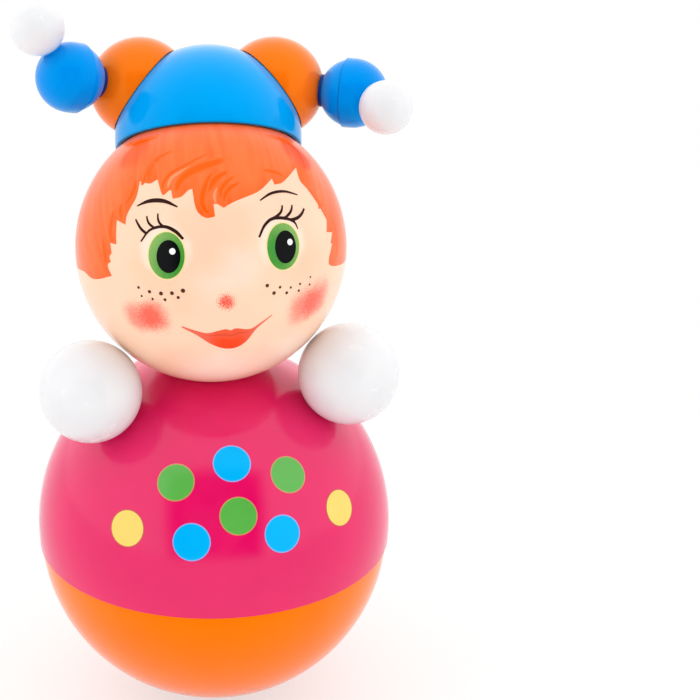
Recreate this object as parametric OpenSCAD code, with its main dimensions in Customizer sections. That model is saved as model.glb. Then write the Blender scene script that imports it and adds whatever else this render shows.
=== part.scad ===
// Roly poly clown toy: a weighted two-colour ball body with a chime inside, a ball head,
// two ball hands and a two-horned hat whose ball tips turn.
// Millimetres, +Z up, the face looks along -Y, the rest flat lies on Z = 0.

/* [Body] */
// outer radius of the lower bowl
bowl_r = 75; // [68:0.5:90]
// wall of the lower bowl
bowl_wall = 2.2; // [1.8:0.1:3]
// radius of the flat that the toy rests on
rest_r = 7; // [5:0.5:10]
// depth of the colour seam below the bowl's centre
seam_drop = 4.2; // [3:0.1:7]
// step by which the upper shell stands proud of the bowl
seam_step = 1; // [0.6:0.1:2]
// rise of the upper shell's centre over the bowl's centre
upper_lift = 3.7; // [2:0.1:5]
// wall of the upper shell
upper_wall = 2.4; // [2:0.1:3]
// height of the bowl's tongue inside the upper shell
tongue_h = 5; // [3:0.5:8]
// thickness of the bowl's tongue
tongue_w = 1.5; // [1:0.1:2]

/* [Head] */
// outer radius of the head
head_r = 56.4; // [50:0.2:62]
// wall of the two head shells
head_wall = 2.2; // [1.8:0.1:3]
// depth by which the head sinks into the body
head_sink = 5.6; // [4.5:0.1:7]
// length of the lap between the two head shells
lap_len = 3; // [2:0.5:5]
// thickness of the lap between the two head shells
lap_w = 1.2; // [0.8:0.1:1.6]
// outer radius of the neck spigot
neck_r = 12; // [10:0.5:13]
// bore radius of the neck spigot
neck_bore_r = 9; // [7:0.5:9.5]
// length of the neck spigot below its collar
neck_len = 12.5; // [11:0.5:16]
// thickness of the ring that holds the neck
neck_ring_h = 4; // [3:0.5:5]

/* [Hat] */
// outer radius of the hat dome
hat_r = 39.2; // [36:0.2:43]
// wall of the hat dome
hat_wall = 2.2; // [1.8:0.1:3]
// backward tilt of the hat, degrees
hat_tilt = 35.5; // [25:0.5:45]
// turn of the hat about the head's upright axis, degrees
hat_turn = -6.5; // [-15:0.5:15]
// depth of the brim below the dome's centre
brim_drop = 4.2; // [2:0.1:6]
// width of the brim's flat underside
brim_w = 1.6; // [1.2:0.1:2]
// outer radius of a horn
horn_r = 21.1; // [18:0.1:24]
// wall of a horn
horn_wall = 1.8; // [1.5:0.1:2.4]
// lean of the horns from the hat's axis, degrees
horn_lean = 51.5; // [46:0.5:58]
// depth by which a horn's centre lies below the dome's surface
horn_sink = 3.1; // [2:0.1:5]
// turn of both horns about the hat's axis, degrees
horn_angle = 2; // [-8:0.5:8]

/* [Tips] */
// outer radius of the turning half of a tip
tip_r = 14.6; // [13:0.1:17]
// wall of both halves of a tip
tip_wall = 1.8; // [1.5:0.1:2.2]
// step between the turning half and the fixed half
tip_step = 0.3; // [0.2:0.1:0.6]
// radius of the foot by which a tip stands on its horn
tip_foot_r = 6.8; // [6.6:0.1:8]
// distance of the tip's seam behind its centre
tip_seam = 3.5; // [3:0.1:5]
// bend from a horn's axis to its tip's axis, degrees
tip_bend = 50; // [40:0.5:60]
// turn of the left tip about its horn, degrees
tip_angle_left = 223.5; // [180:0.5:270]
// turn of the right tip about its horn, degrees
tip_angle_right = -19.5; // [-60:0.5:60]
// outer radius of a bobble
bobble_r = 11.2; // [9:0.1:13]
// wall of a bobble
bobble_wall = 1.8; // [1.4:0.1:2.4]
// bend from a tip's axis to its bobble's axis, degrees
bobble_bend = 45.5; // [35:0.5:50]
// turn of the left bobble about its tip, degrees
bobble_angle_left = 134; // [0:0.5:360]
// turn of the right bobble about its tip, degrees
bobble_angle_right = -43.5; // [-180:0.5:180]
// depth by which a bobble's ball passes its tip's surface
bobble_sink = 0.8; // [0.6:0.1:1.2]
// radius of a bobble's stem
stem_r = 2.4; // [1.8:0.1:3]

/* [Hands] */
// outer radius of a hand
hand_r = 21.3; // [18:0.1:24]
// wall of a hand
hand_wall = 1.8; // [1.5:0.1:2.4]
// depth by which a hand's ball passes the body's surface
hand_sink = 1.3; // [0.8:0.1:2]
// swing of the hands from the front to the sides, degrees
hand_swing = 66; // [50:0.5:90]
// gap between a hand and the head
hand_gap = 0.8; // [0.4:0.1:3]

/* [Ballast and chime] */
// height of the ballast's underside over the rest flat
ballast_z = 8; // [7:0.5:10]
// height of the ballast
ballast_h = 14; // [11:0.5:18]
// radius of the circle of ballast screws
ballast_ring_r = 14; // [11:0.5:16]
// radius of the chime's plate
plate_r = 34; // [31:0.5:40]
// thickness of the chime's plate
plate_t = 3; // [2:0.5:4]
// height of the hammer's axle over the plate
axle_rise = 41; // [38:0.5:50]
// radius of the hammer's axle
axle_r = 1.5; // [1:0.1:2]
// distance from the axle to the hammer head's centre
hammer_drop = 30; // [26:0.5:32]
// radius of the hammer head
hammer_r = 6; // [4:0.5:7]
// length of the hammer head
hammer_len = 40; // [36:1:44]
// distance of a row of tone rods from the middle
rod_row = 15; // [13.5:0.5:18]
// spacing of the tone rods in a row
rod_pitch = 16; // [12:0.5:17]
// radius of a tone rod
rod_r = 1.6; // [1:0.1:2]
// length of the shortest tone rod over its boss
rod_short = 18; // [15:0.5:22]
// growth in length from one tone rod to the next
rod_step = 3; // [1:0.5:4]

/* [Screws and fits] */
// radius of a screw's shank
screw_r = 1.4; // [1.2:0.1:1.6]
// radius of a screw's head
screw_head_r = 2.8; // [2.4:0.1:3.2]
// height of a screw's head
screw_head_h = 2; // [1.6:0.1:2.4]
// radial clearance of a screw in its through hole
screw_clear = 0.2; // [0.1:0.05:0.4]
// radial clearance of a thread, stem or pressed pin in its hole
press_fit = 0.02; // [0.01:0.01:0.04]
// radial clearance of lapped or turning parts
run_fit = 0.06; // [0.03:0.01:0.1]
// gap between ball faces that lie side by side
ball_gap = 0.3; // [0.2:0.05:0.6]
// gap between the hat's brim and the head
hat_gap = 0.4; // [0.3:0.05:0.8]
// rise of a flat pad over the ball that carries it
pad_rise = 0.6; // [0.4:0.1:0.8]
// depth of a flat pad inside the ball that carries it
pad_deep = 1.2; // [0.8:0.1:1.6]
// wall of a screw's post or pad around it
post_wall = 2.6; // [2:0.1:3]

/* [Hidden] */
$fn = 96;
big = 400;
eps = 0.5;

// heights of the body's and head's centres
bowl_z = sqrt(bowl_r * bowl_r - rest_r * rest_r);
seam_z = bowl_z - seam_drop;
upper_r = bowl_r + seam_step;
upper_z = bowl_z + upper_lift;
head_z = upper_z + upper_r + head_r - head_sink;

// lap between the bowl and the upper shell
bowl_in_r = bowl_r - bowl_wall;
upper_in_r = upper_r - upper_wall;
socket_ease = 0.1;
socket_r = sqrt(pow(upper_in_r, 2) - pow(upper_z - seam_z, 2)) - socket_ease;
tongue_r = socket_r - run_fit;
tongue_root = 3;
socket_end_gap = 0.5;
socket_h = tongue_h + socket_end_gap;

// neck: collar of the head on the boss of the upper shell
collar_w = 3;
collar_drop = 1;
collar_r = neck_r + collar_w;
seat_z = head_z - head_r - ball_gap - collar_drop;
boss_w = 6;
boss_r = neck_r + boss_w;
boss_h = 5.5;
boss_z = seat_z - boss_h;
spigot_end_z = seat_z - neck_len;
flange_h = 2;
bush_wall = 2.5;
bush_top = seat_z + flange_h;

// head lap
head_in_r = head_r - head_wall;
lap_r = sqrt(head_in_r * head_in_r - lap_len * lap_len) - run_fit;

// hat, measured from the head's centre along the hat's axis
brim_r = sqrt(hat_r * hat_r - brim_drop * brim_drop);
brim_lift = sqrt(pow(head_r + hat_gap, 2) - pow(brim_r - brim_w, 2));
hat_lift = brim_lift + brim_drop;
hat_in_r = hat_r - hat_wall;
hat_pad_top = head_r + pad_rise;
hat_pad_low = head_in_r - pad_deep;

// ball reaches from the centre of the ball that carries each
horn_in_r = horn_r - horn_wall;
horn_reach = hat_r - horn_sink;
horn_pad_top = hat_r + pad_rise;
horn_pad_low = hat_in_r - pad_deep;
tip_pad_top = horn_r + pad_rise;
tip_pad_low = horn_in_r - pad_deep;
cup_r = tip_r - tip_step;
cup_foot = -sqrt(cup_r * cup_r - tip_foot_r * tip_foot_r);
tip_reach = tip_pad_top - cup_foot;
cap_in_r = tip_r - tip_wall;
cup_tongue_r = cap_in_r - run_fit;
cup_tongue_w = 1.4;
cup_root = 1.5;
bead_h = 0.8;
bead_out = 0.3;
bead_gap = 0.1;
bead_z = -0.4 * tip_seam - bead_h;
socket_deep = 2.5;
bobble_reach = tip_r + bobble_r - bobble_sink;
bobble_pad_top = tip_r + pad_rise;
bobble_pad_low = cap_in_r - socket_deep;
bobble_pad_r = stem_r + tip_wall;
stem_wall = 1.2;
stem_out = 1;
stem_end = bobble_pad_low - stem_out;
hand_reach = upper_r + hand_r - hand_sink;
hand_pad_top = upper_r + pad_rise;
hand_pad_low = upper_in_r - pad_deep;
hand_pad_r = 7;
hand_far = head_r + hand_r + hand_gap;
neck_reach = head_z - upper_z;
hand_lean = acos(
    (pow(hand_reach, 2) + pow(neck_reach, 2) - pow(hand_far, 2)) / (2 * hand_reach * neck_reach)
);

// screws
pad_r = screw_head_r + post_wall;
post_r = screw_r + post_wall;
hat_screw_len = 14;
horn_screw_len = 14;
tip_screw_len = 12;
hand_screw_len = 14;
ballast_screw_len = 14;
chime_screw_len = 10;
screw_end_gap = 1;
drive_w = 0.8;
drive_len = 3.2;
drive_deep = 1;

// ballast and chime
ballast_gap = 0.6;
ballast_top = ballast_z + ballast_h;
counterbore_h = 4;
counterbore_gap = 1;
pillar_wall = 3;
pillar_r = screw_r + pillar_wall;
plate_top = ballast_top + plate_t;
plate_edge = 5;
chime_ring_r = plate_r - plate_edge;
axle_z = plate_top + axle_rise;
axle_out = 1.5;
upright_t = 4;
upright_w = 12;
hammer_side_gap = 5;
upright_x = hammer_len / 2 + hammer_side_gap;
axle_len = 2 * (upright_x + upright_t + axle_out);
hub_wall = 2.5;
hub_r = axle_r + hub_wall;
hub_gap = 0.3;
arm_r = 2;
arm_cover = 1;
arm_end = axle_z - hammer_drop - hammer_r + arm_cover;
rod_boss_wall = 2.4;
rod_boss_r = rod_r + rod_boss_wall;
rod_boss_h = 4;
rod_floor = 1;
rod_foot_z = ballast_top + rod_floor;
rod_boss_top = plate_top + rod_boss_h;

// frames: each places its children with +Z along the axis that is named
module at_head() {
    translate([0, 0, head_z]) children();
}

module at_hat() {
    at_head() rotate([0, 0, hat_turn]) rotate([-hat_tilt, 0, 0]) children();
}

module at_dome() {
    at_hat() translate([0, 0, hat_lift]) children();
}

// ball about the dome's centre, its parting line to the front
module dome_ball(r) {
    at_dome() rotate([0, 0, -90]) sphere(r = r);
}

module at_horn(side) {
    at_dome() rotate([0, 0, horn_angle]) rotate([0, side * horn_lean, 0]) children();
}

module at_horn_ball(side) {
    turn = side < 0 ? tip_angle_left : tip_angle_right;
    at_horn(side) translate([0, 0, horn_reach]) rotate([0, 0, turn]) children();
}

module at_tip(side) {
    at_horn_ball(side) rotate([0, tip_bend, 0]) children();
}

module at_tip_ball(side) {
    at_tip(side) translate([0, 0, tip_reach]) children();
}

module at_bobble(side) {
    turn = side < 0 ? bobble_angle_left : bobble_angle_right;
    at_tip_ball(side) rotate([0, 0, turn]) rotate([0, bobble_bend, 0]) children();
}

module at_hand(side) {
    translate([0, 0, upper_z]) rotate([0, 0, side * hand_swing]) rotate([hand_lean, 0, 0]) children();
}

// half spaces and short rods between two heights
module below(z) {
    translate([-big / 2, -big / 2, z - big]) cube(big);
}

module above(z) {
    translate([-big / 2, -big / 2, z]) cube(big);
}

module rod(r, z0, z1) {
    translate([0, 0, z0]) cylinder(r = r, h = z1 - z0);
}

module ballast_spots() {
    for (a = [30, 150, 270]) rotate([0, 0, a]) translate([ballast_ring_r, 0, 0]) children();
}

module chime_spots() {
    for (a = [45, 135, 225, 315]) rotate([0, 0, a]) translate([chime_ring_r, 0, 0]) children();
}

// screw with its head below Z = 0 and its shank along +Z
module screw(length) {
    difference() {
        union() {
            rod(screw_head_r, -screw_head_h, 0);
            rod(screw_r, -screw_head_h / 2, length);
        }
        translate([-drive_len / 2, -drive_w / 2, -screw_head_h - eps])
            cube([drive_len, drive_w, eps + drive_deep]);
        translate([-drive_w / 2, -drive_len / 2, -screw_head_h - eps])
            cube([drive_w, drive_len, eps + drive_deep]);
    }
}

module body_lower_shell() {
    color("darkorange")
    difference() {
        union() {
            difference() {
                translate([0, 0, bowl_z]) sphere(r = bowl_r);
                translate([0, 0, bowl_z]) sphere(r = bowl_in_r);
                above(seam_z);
            }
            rod(tongue_r, seam_z - tongue_root, seam_z + tongue_h);
            intersection() {
                translate([0, 0, bowl_z]) sphere(r = bowl_r);
                ballast_spots() rod(pillar_r, -eps, ballast_z);
            }
        }
        rod(tongue_r - tongue_w, seam_z - tongue_root - eps, seam_z + tongue_h + eps);
        below(0);
        ballast_spots()
            rod(screw_r + press_fit, ballast_top - counterbore_h - ballast_screw_len - eps, ballast_top);
    }
}

module body_upper_shell() {
    color("deeppink")
    difference() {
        union() {
            difference() {
                translate([0, 0, upper_z]) sphere(r = upper_r);
                difference() {
                    translate([0, 0, upper_z]) sphere(r = upper_in_r);
                    below(seam_z + socket_h);
                }
                rod(socket_r, seam_z - eps, seam_z + socket_h);
                below(seam_z);
            }
            intersection() {
                translate([0, 0, upper_z]) sphere(r = upper_r);
                union() {
                    at_head() sphere(r = head_r + ball_gap + upper_wall);
                    rod(boss_r, boss_z, big);
                }
            }
            for (side = [-1, 1]) at_hand(side) rod(hand_pad_r, hand_pad_low, hand_pad_top);
        }
        at_head() sphere(r = head_r + ball_gap);
        rod(collar_r + ball_gap, seat_z, big);
        rod(neck_r + run_fit, boss_z - eps, big);
        for (side = [-1, 1])
            at_hand(side) rod(screw_r + screw_clear, hand_pad_low - eps, hand_pad_top + eps);
    }
}

module neck_ring() {
    color("whitesmoke")
    difference() {
        rod(boss_r, boss_z - neck_ring_h, boss_z);
        rod(neck_r + press_fit, boss_z - neck_ring_h - eps, boss_z + eps);
    }
}

module neck_bush() {
    color("whitesmoke")
    difference() {
        union() {
            rod(neck_r, spigot_end_z - flange_h, spigot_end_z);
            rod(neck_bore_r - press_fit, spigot_end_z - eps, bush_top);
        }
        rod(neck_bore_r - bush_wall, spigot_end_z - flange_h - eps, bush_top + eps);
    }
}

// whole head with its collar and spigot, before it is split into two shells
module head_ball() {
    difference() {
        union() {
            difference() {
                at_head() sphere(r = head_r);
                at_head() sphere(r = head_in_r);
            }
            rod(collar_r, seat_z, head_z - head_in_r + collar_drop);
            rod(neck_r, spigot_end_z, seat_z + eps);
            at_hat() rod(pad_r, hat_pad_low, hat_pad_top);
        }
        rod(neck_bore_r, spigot_end_z - eps, head_z - head_r / 2);
        at_hat() rod(screw_r + screw_clear, hat_pad_low - eps, hat_pad_top + eps);
    }
}

module head_lap() {
    translate([0, 0, head_z]) rotate([-90, 0, 0]) difference() {
        union() {
            rod(head_in_r + eps, -2 * lap_len, 0);
            rod(lap_r, -eps, lap_len);
        }
        rod(lap_r - lap_w, -2 * lap_len - eps, lap_len + eps);
        rotate([90, 0, 0]) rod(collar_r + lap_w, -head_r, 0);
    }
}

module head_front_shell() {
    color("peachpuff")
    union() {
        intersection() {
            head_ball();
            translate([-big / 2, -big, 0]) cube(big);
        }
        head_lap();
    }
}

module head_back_shell() {
    color("peachpuff")
    intersection() {
        head_ball();
        translate([-big / 2, 0, 0]) cube(big);
    }
}

module hat_dome() {
    color("deepskyblue")
    difference() {
        union() {
            difference() {
                dome_ball(hat_r);
                dome_ball(hat_in_r);
                at_dome() below(-brim_drop);
            }
            at_hat() rod(post_r, hat_pad_top, hat_lift + hat_in_r + hat_wall / 2);
            for (side = [-1, 1]) at_horn(side) rod(pad_r, horn_pad_low, horn_pad_top);
        }
        difference() {
            at_head() sphere(r = head_r + hat_gap);
            at_hat() rod(post_r + eps, 0, big);
        }
        at_hat() rod(screw_r + press_fit, hat_pad_top - eps, hat_pad_low + hat_screw_len + screw_end_gap);
        for (side = [-1, 1])
            at_horn(side) rod(screw_r + screw_clear, horn_pad_low - eps, horn_pad_top + eps);
    }
}

module hat_screw() {
    color("silver")
    at_hat() translate([0, 0, hat_pad_low]) screw(hat_screw_len);
}

module horn(side) {
    difference() {
        union() {
            difference() {
                at_horn_ball(side) rotate([0, 0, 180]) sphere(r = horn_r);
                at_horn_ball(side) rotate([0, 0, 180]) sphere(r = horn_in_r);
                dome_ball(hat_r + ball_gap);
            }
            at_horn(side) rod(post_r, horn_pad_top, horn_reach + horn_in_r + horn_wall / 2);
            at_tip(side) rod(pad_r, tip_pad_low, tip_pad_top);
        }
        at_horn(side)
            rod(screw_r + press_fit, horn_pad_top - eps, horn_pad_low + horn_screw_len + screw_end_gap);
        at_tip(side) rod(screw_r + screw_clear, tip_pad_low - eps, tip_pad_top + eps);
    }
}

module horn_left() {
    color("orangered") horn(-1);
}

module horn_right() {
    color("orangered") horn(1);
}

module horn_screws() {
    color("silver")
    for (side = [-1, 1]) at_horn(side) translate([0, 0, horn_pad_low]) screw(horn_screw_len);
}

// fixed half of a tip with its foot scribed over the horn and its tongue inside the turning half
module tip_cup(side) {
    difference() {
        at_tip_ball(side) union() {
            difference() {
                sphere(r = cup_r);
                sphere(r = cup_r - tip_wall);
                above(-tip_seam);
            }
            rod(tip_foot_r, horn_in_r - tip_reach, cup_foot + tip_wall);
            rod(post_r, cup_foot, tip_pad_low + tip_screw_len + screw_end_gap - tip_reach);
            difference() {
                union() {
                    rod(cup_tongue_r, -tip_seam - cup_root, -ball_gap);
                    rod(cup_tongue_r + bead_out, bead_z, bead_z + bead_h);
                }
                rod(cup_tongue_r - cup_tongue_w, -tip_seam - 2 * cup_root, eps);
            }
        }
        at_horn_ball(side) rotate([0, 0, 180]) sphere(r = horn_r + ball_gap);
        at_tip(side) rod(pad_r + ball_gap, horn_in_r, tip_pad_top);
        at_tip(side) rod(screw_r + press_fit, tip_pad_top - eps, tip_reach);
    }
}

module tip_cup_left() {
    color("dodgerblue") tip_cup(-1);
}

module tip_cup_right() {
    color("dodgerblue") tip_cup(1);
}

module tip_screws() {
    color("silver")
    for (side = [-1, 1]) at_tip(side) translate([0, 0, tip_pad_low]) screw(tip_screw_len);
}

// turning half of a tip with its skirt over the fixed half and its socket for the bobble
module tip_cap(side) {
    difference() {
        union() {
            at_tip_ball(side) difference() {
                union() {
                    sphere(r = tip_r);
                    rod(tip_r, -tip_seam + run_fit, 0);
                }
                sphere(r = cap_in_r);
                rod(cap_in_r, -tip_seam - eps, 0);
                below(-tip_seam + run_fit);
                rod(cap_in_r + bead_out, bead_z - bead_gap, bead_z + bead_h + bead_gap);
            }
            at_bobble(side) rod(bobble_pad_r, bobble_pad_low, bobble_pad_top);
        }
        at_bobble(side) rod(stem_r + press_fit, stem_end, bobble_pad_top + eps);
    }
}

module tip_cap_left() {
    color("dodgerblue") tip_cap(-1);
}

module tip_cap_right() {
    color("dodgerblue") tip_cap(1);
}

module bobble(side) {
    at_bobble(side) difference() {
        union() {
            difference() {
                translate([0, 0, bobble_reach]) sphere(r = bobble_r);
                translate([0, 0, bobble_reach]) sphere(r = bobble_r - bobble_wall);
                below(bobble_pad_top);
            }
            rod(bobble_pad_r, bobble_pad_top, bobble_pad_top + bobble_wall);
            rod(stem_r, stem_end, bobble_pad_top + bobble_wall);
        }
        rod(stem_r - stem_wall, stem_end - eps, bobble_reach);
    }
}

module bobble_left() {
    color("white") bobble(-1);
}

module bobble_right() {
    color("white") bobble(1);
}

module hand(side) {
    at_hand(side) difference() {
        union() {
            difference() {
                translate([0, 0, hand_reach]) sphere(r = hand_r);
                translate([0, 0, hand_reach]) sphere(r = hand_r - hand_wall);
                below(hand_pad_top);
            }
            rod(hand_pad_r, hand_pad_top, hand_pad_top + hand_wall);
            rod(post_r, hand_pad_top, hand_pad_low + hand_screw_len + screw_end_gap);
        }
        rod(screw_r + press_fit, hand_pad_top - eps, hand_reach);
    }
}

module hand_left() {
    color("white") hand(-1);
}

module hand_right() {
    color("white") hand(1);
}

module hand_screws() {
    color("silver")
    for (side = [-1, 1]) at_hand(side) translate([0, 0, hand_pad_low]) screw(hand_screw_len);
}

module ballast_weight() {
    color("dimgray")
    difference() {
        intersection() {
            translate([0, 0, bowl_z]) sphere(r = bowl_in_r - ballast_gap);
            rod(bowl_r, ballast_z, ballast_top);
        }
        ballast_spots() rod(screw_r + screw_clear, ballast_z - eps, ballast_top + eps);
        ballast_spots() rod(screw_head_r + counterbore_gap, ballast_top - counterbore_h, ballast_top + eps);
        chime_spots()
            rod(screw_r + press_fit, plate_top - chime_screw_len - screw_end_gap, ballast_top + eps);
    }
}

module ballast_screws() {
    color("silver")
    ballast_spots()
        translate([0, 0, ballast_top - counterbore_h]) rotate([180, 0, 0]) screw(ballast_screw_len);
}

module rod_spot(i) {
    translate([(i % 3 - 1) * rod_pitch, i < 3 ? -rod_row : rod_row, 0]) children();
}

module chime_base() {
    color("ivory")
    difference() {
        union() {
            rod(plate_r, ballast_top, plate_top);
            for (i = [0 : 5]) rod_spot(i) rod(rod_boss_r, rod_foot_z, rod_boss_top);
            for (side = [-1, 1]) {
                translate([side * (upright_x + upright_t / 2), 0, ballast_top + eps])
                    translate([-upright_t / 2, -upright_w / 2, 0])
                    cube([upright_t, upright_w, axle_z - ballast_top - eps]);
                translate([side * (upright_x + upright_t / 2), 0, axle_z]) rotate([0, 90, 0])
                    rod(upright_w / 2, -upright_t / 2, upright_t / 2);
            }
        }
        for (i = [0 : 5]) rod_spot(i) rod(rod_r + press_fit, rod_foot_z, rod_boss_top + eps);
        chime_spots() rod(screw_r + screw_clear, ballast_top - eps, plate_top + eps);
        translate([0, 0, axle_z]) rotate([0, 90, 0]) rod(axle_r + press_fit, -axle_len, axle_len);
    }
}

module chime_screws() {
    color("silver")
    chime_spots() translate([0, 0, plate_top]) rotate([180, 0, 0]) screw(chime_screw_len);
}

module tone_rod(i) {
    rod_spot(i) rod(rod_r, rod_foot_z, rod_boss_top + rod_short + i * rod_step);
}

module tone_rod_1() {
    color("silver") tone_rod(0);
}

module tone_rod_2() {
    color("silver") tone_rod(1);
}

module tone_rod_3() {
    color("silver") tone_rod(2);
}

module tone_rod_4() {
    color("silver") tone_rod(3);
}

module tone_rod_5() {
    color("silver") tone_rod(4);
}

module tone_rod_6() {
    color("silver") tone_rod(5);
}

module hammer_axle() {
    color("silver")
    translate([0, 0, axle_z]) rotate([0, 90, 0]) rod(axle_r, -axle_len / 2, axle_len / 2);
}

module hammer_arm() {
    color("ivory")
    difference() {
        union() {
            translate([0, 0, axle_z]) rotate([0, 90, 0])
                rod(hub_r, hub_gap - upright_x, upright_x - hub_gap);
            rod(arm_r, arm_end, axle_z - hub_r + hub_wall / 2);
        }
        translate([0, 0, axle_z]) rotate([0, 90, 0])
            rod(axle_r + run_fit, -upright_x - eps, upright_x + eps);
    }
}

module hammer_head() {
    color("goldenrod")
    difference() {
        translate([0, 0, axle_z - hammer_drop]) rotate([0, 90, 0])
            rod(hammer_r, -hammer_len / 2, hammer_len / 2);
        rod(arm_r + press_fit, arm_end, axle_z);
    }
}

body_lower_shell();
body_upper_shell();
neck_ring();
neck_bush();
head_front_shell();
head_back_shell();
hat_dome();
hat_screw();
horn_left();
horn_right();
horn_screws();
tip_cup_left();
tip_cup_right();
tip_screws();
tip_cap_left();
tip_cap_right();
bobble_left();
bobble_right();
hand_left();
hand_right();
hand_screws();
ballast_weight();
ballast_screws();
chime_base();
chime_screws();
tone_rod_1();
tone_rod_2();
tone_rod_3();
tone_rod_4();
tone_rod_5();
tone_rod_6();
hammer_axle();
hammer_arm();
hammer_head();
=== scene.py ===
"""Dresses the roly poly clown: moulded balls, painted face and hair, printed dots and the chime inside."""

import logging
import math
from dataclasses import dataclass, field
from enum import Enum
from functools import partial
from typing import Iterable, Sequence

import bmesh
import bpy
from mathutils import Matrix, Vector


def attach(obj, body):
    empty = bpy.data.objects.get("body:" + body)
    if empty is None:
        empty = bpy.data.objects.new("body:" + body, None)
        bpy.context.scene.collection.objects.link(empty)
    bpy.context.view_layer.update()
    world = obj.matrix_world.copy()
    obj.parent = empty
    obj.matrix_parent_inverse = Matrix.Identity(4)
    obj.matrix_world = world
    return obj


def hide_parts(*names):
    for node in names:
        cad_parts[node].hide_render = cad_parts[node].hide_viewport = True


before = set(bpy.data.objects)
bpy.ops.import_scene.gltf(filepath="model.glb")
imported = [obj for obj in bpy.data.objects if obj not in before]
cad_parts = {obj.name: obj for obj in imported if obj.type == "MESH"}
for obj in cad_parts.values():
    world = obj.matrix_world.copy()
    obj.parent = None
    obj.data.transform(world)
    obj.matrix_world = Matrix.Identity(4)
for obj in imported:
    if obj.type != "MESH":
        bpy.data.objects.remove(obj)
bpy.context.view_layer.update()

Profile = list[tuple[float, float]]
Pair = tuple[float, float]
Angles = tuple[float, float]
Colour = tuple[float, float, float, float]
Grid = Sequence[Sequence[Vector]]
Socket = bpy.types.NodeSocket
Tree = bpy.types.NodeTree

LOG = logging.getLogger("roly_poly")
MM = 0.001
DOLL = "doll"
FLOW = "flow"
# Edges sharper than this angle, in degrees, stay sharp.
CREASE = 28.0
# Sizes in millimetres: how deep paint goes under the surface, and the holes for a screw's thread and shank.
PAINT_ROOT = 0.3
SCREW_BORE = 1.42
SCREW_HOLE = 1.6
# Most of a noise node's values lie between these two.
NOISE_LOW, NOISE_HIGH = 0.3, 0.7
NOISE, RANGE, MATHS, MIX = "ShaderNodeTexNoise", "ShaderNodeMapRange", "ShaderNodeMath", "ShaderNodeMix"
SMOOTH = {"interpolation_type": "SMOOTHSTEP"}
COLOURS = {"data_type": "RGBA", "output": 2}


class Side(Enum):
    """The toy's two sides as the viewer sees them."""

    LEFT = -1
    RIGHT = 1

    @property
    def word(self) -> str:
        """The side's name as the CAD nodes write it."""
        return self.name.lower()


class Ink(Enum):
    """The inks of the body's dots, each with the ink of its thin rim and the tint of its gloss."""

    BLUE = ("#00B0F4", "#8FA6EE", "#60F0FF")
    GREEN = ("#58B048", "#C79A5E", "#FFFFFF")
    YELLOW = ("#F8D062", "#B9533F", "#FFFFFF")


class Layer(Enum):
    """Heights of the paint layers over the plastic, in millimetres, from the lowest up."""

    DOT_RIM = 0.03
    IRIS_RIM = 0.04
    HAIR = 0.05
    SPOT = 0.06
    LIGHT_STROKE = 0.07
    PUPIL = 0.08
    DARK_STROKE = 0.09
    LINE = 0.1


# Colours and nodes


def linear(hex_colour: str, gain: float = 1.0) -> Colour:
    """Converts an sRGB hex colour to linear light.

    Args:
        hex_colour: The colour as "#RRGGBB".
        gain: A factor on the linear value, for slightly lighter or darker tones.

    Returns:
        Linear red, green, blue and an alpha of 1.
    """
    digits = hex_colour.lstrip("#")
    parts = [int(digits[i : i + 2], 16) / 255 for i in (0, 2, 4)]
    light = [c / 12.92 if c <= 0.04045 else ((c + 0.055) / 1.055) ** 2.4 for c in parts]
    return (*(min(1.0, c * gain) for c in light), 1.0)


def add_node(
    tree: Tree, kind: str, inputs: dict | Sequence = (), output: int | str = 0, **settings: object
) -> Socket | None:
    """Adds a node with its settings and links.

    Args:
        tree: The node tree.
        kind: The node's type name.
        inputs: A value or another node's output for each input, by name or number, or just in order.
        output: The output to give back, by name or number.
        settings: The node's own settings.

    Returns:
        That output, or None if the node has no outputs.
    """
    node = tree.nodes.new(kind)
    for key, value in settings.items():
        setattr(node, key, value)
    for key, value in inputs.items() if isinstance(inputs, dict) else enumerate(inputs):
        if isinstance(value, Socket):
            tree.links.new(value, node.inputs[key])
        else:
            node.inputs[key].default_value = value
    return node.outputs[output] if node.outputs else None


# Finishes


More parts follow.
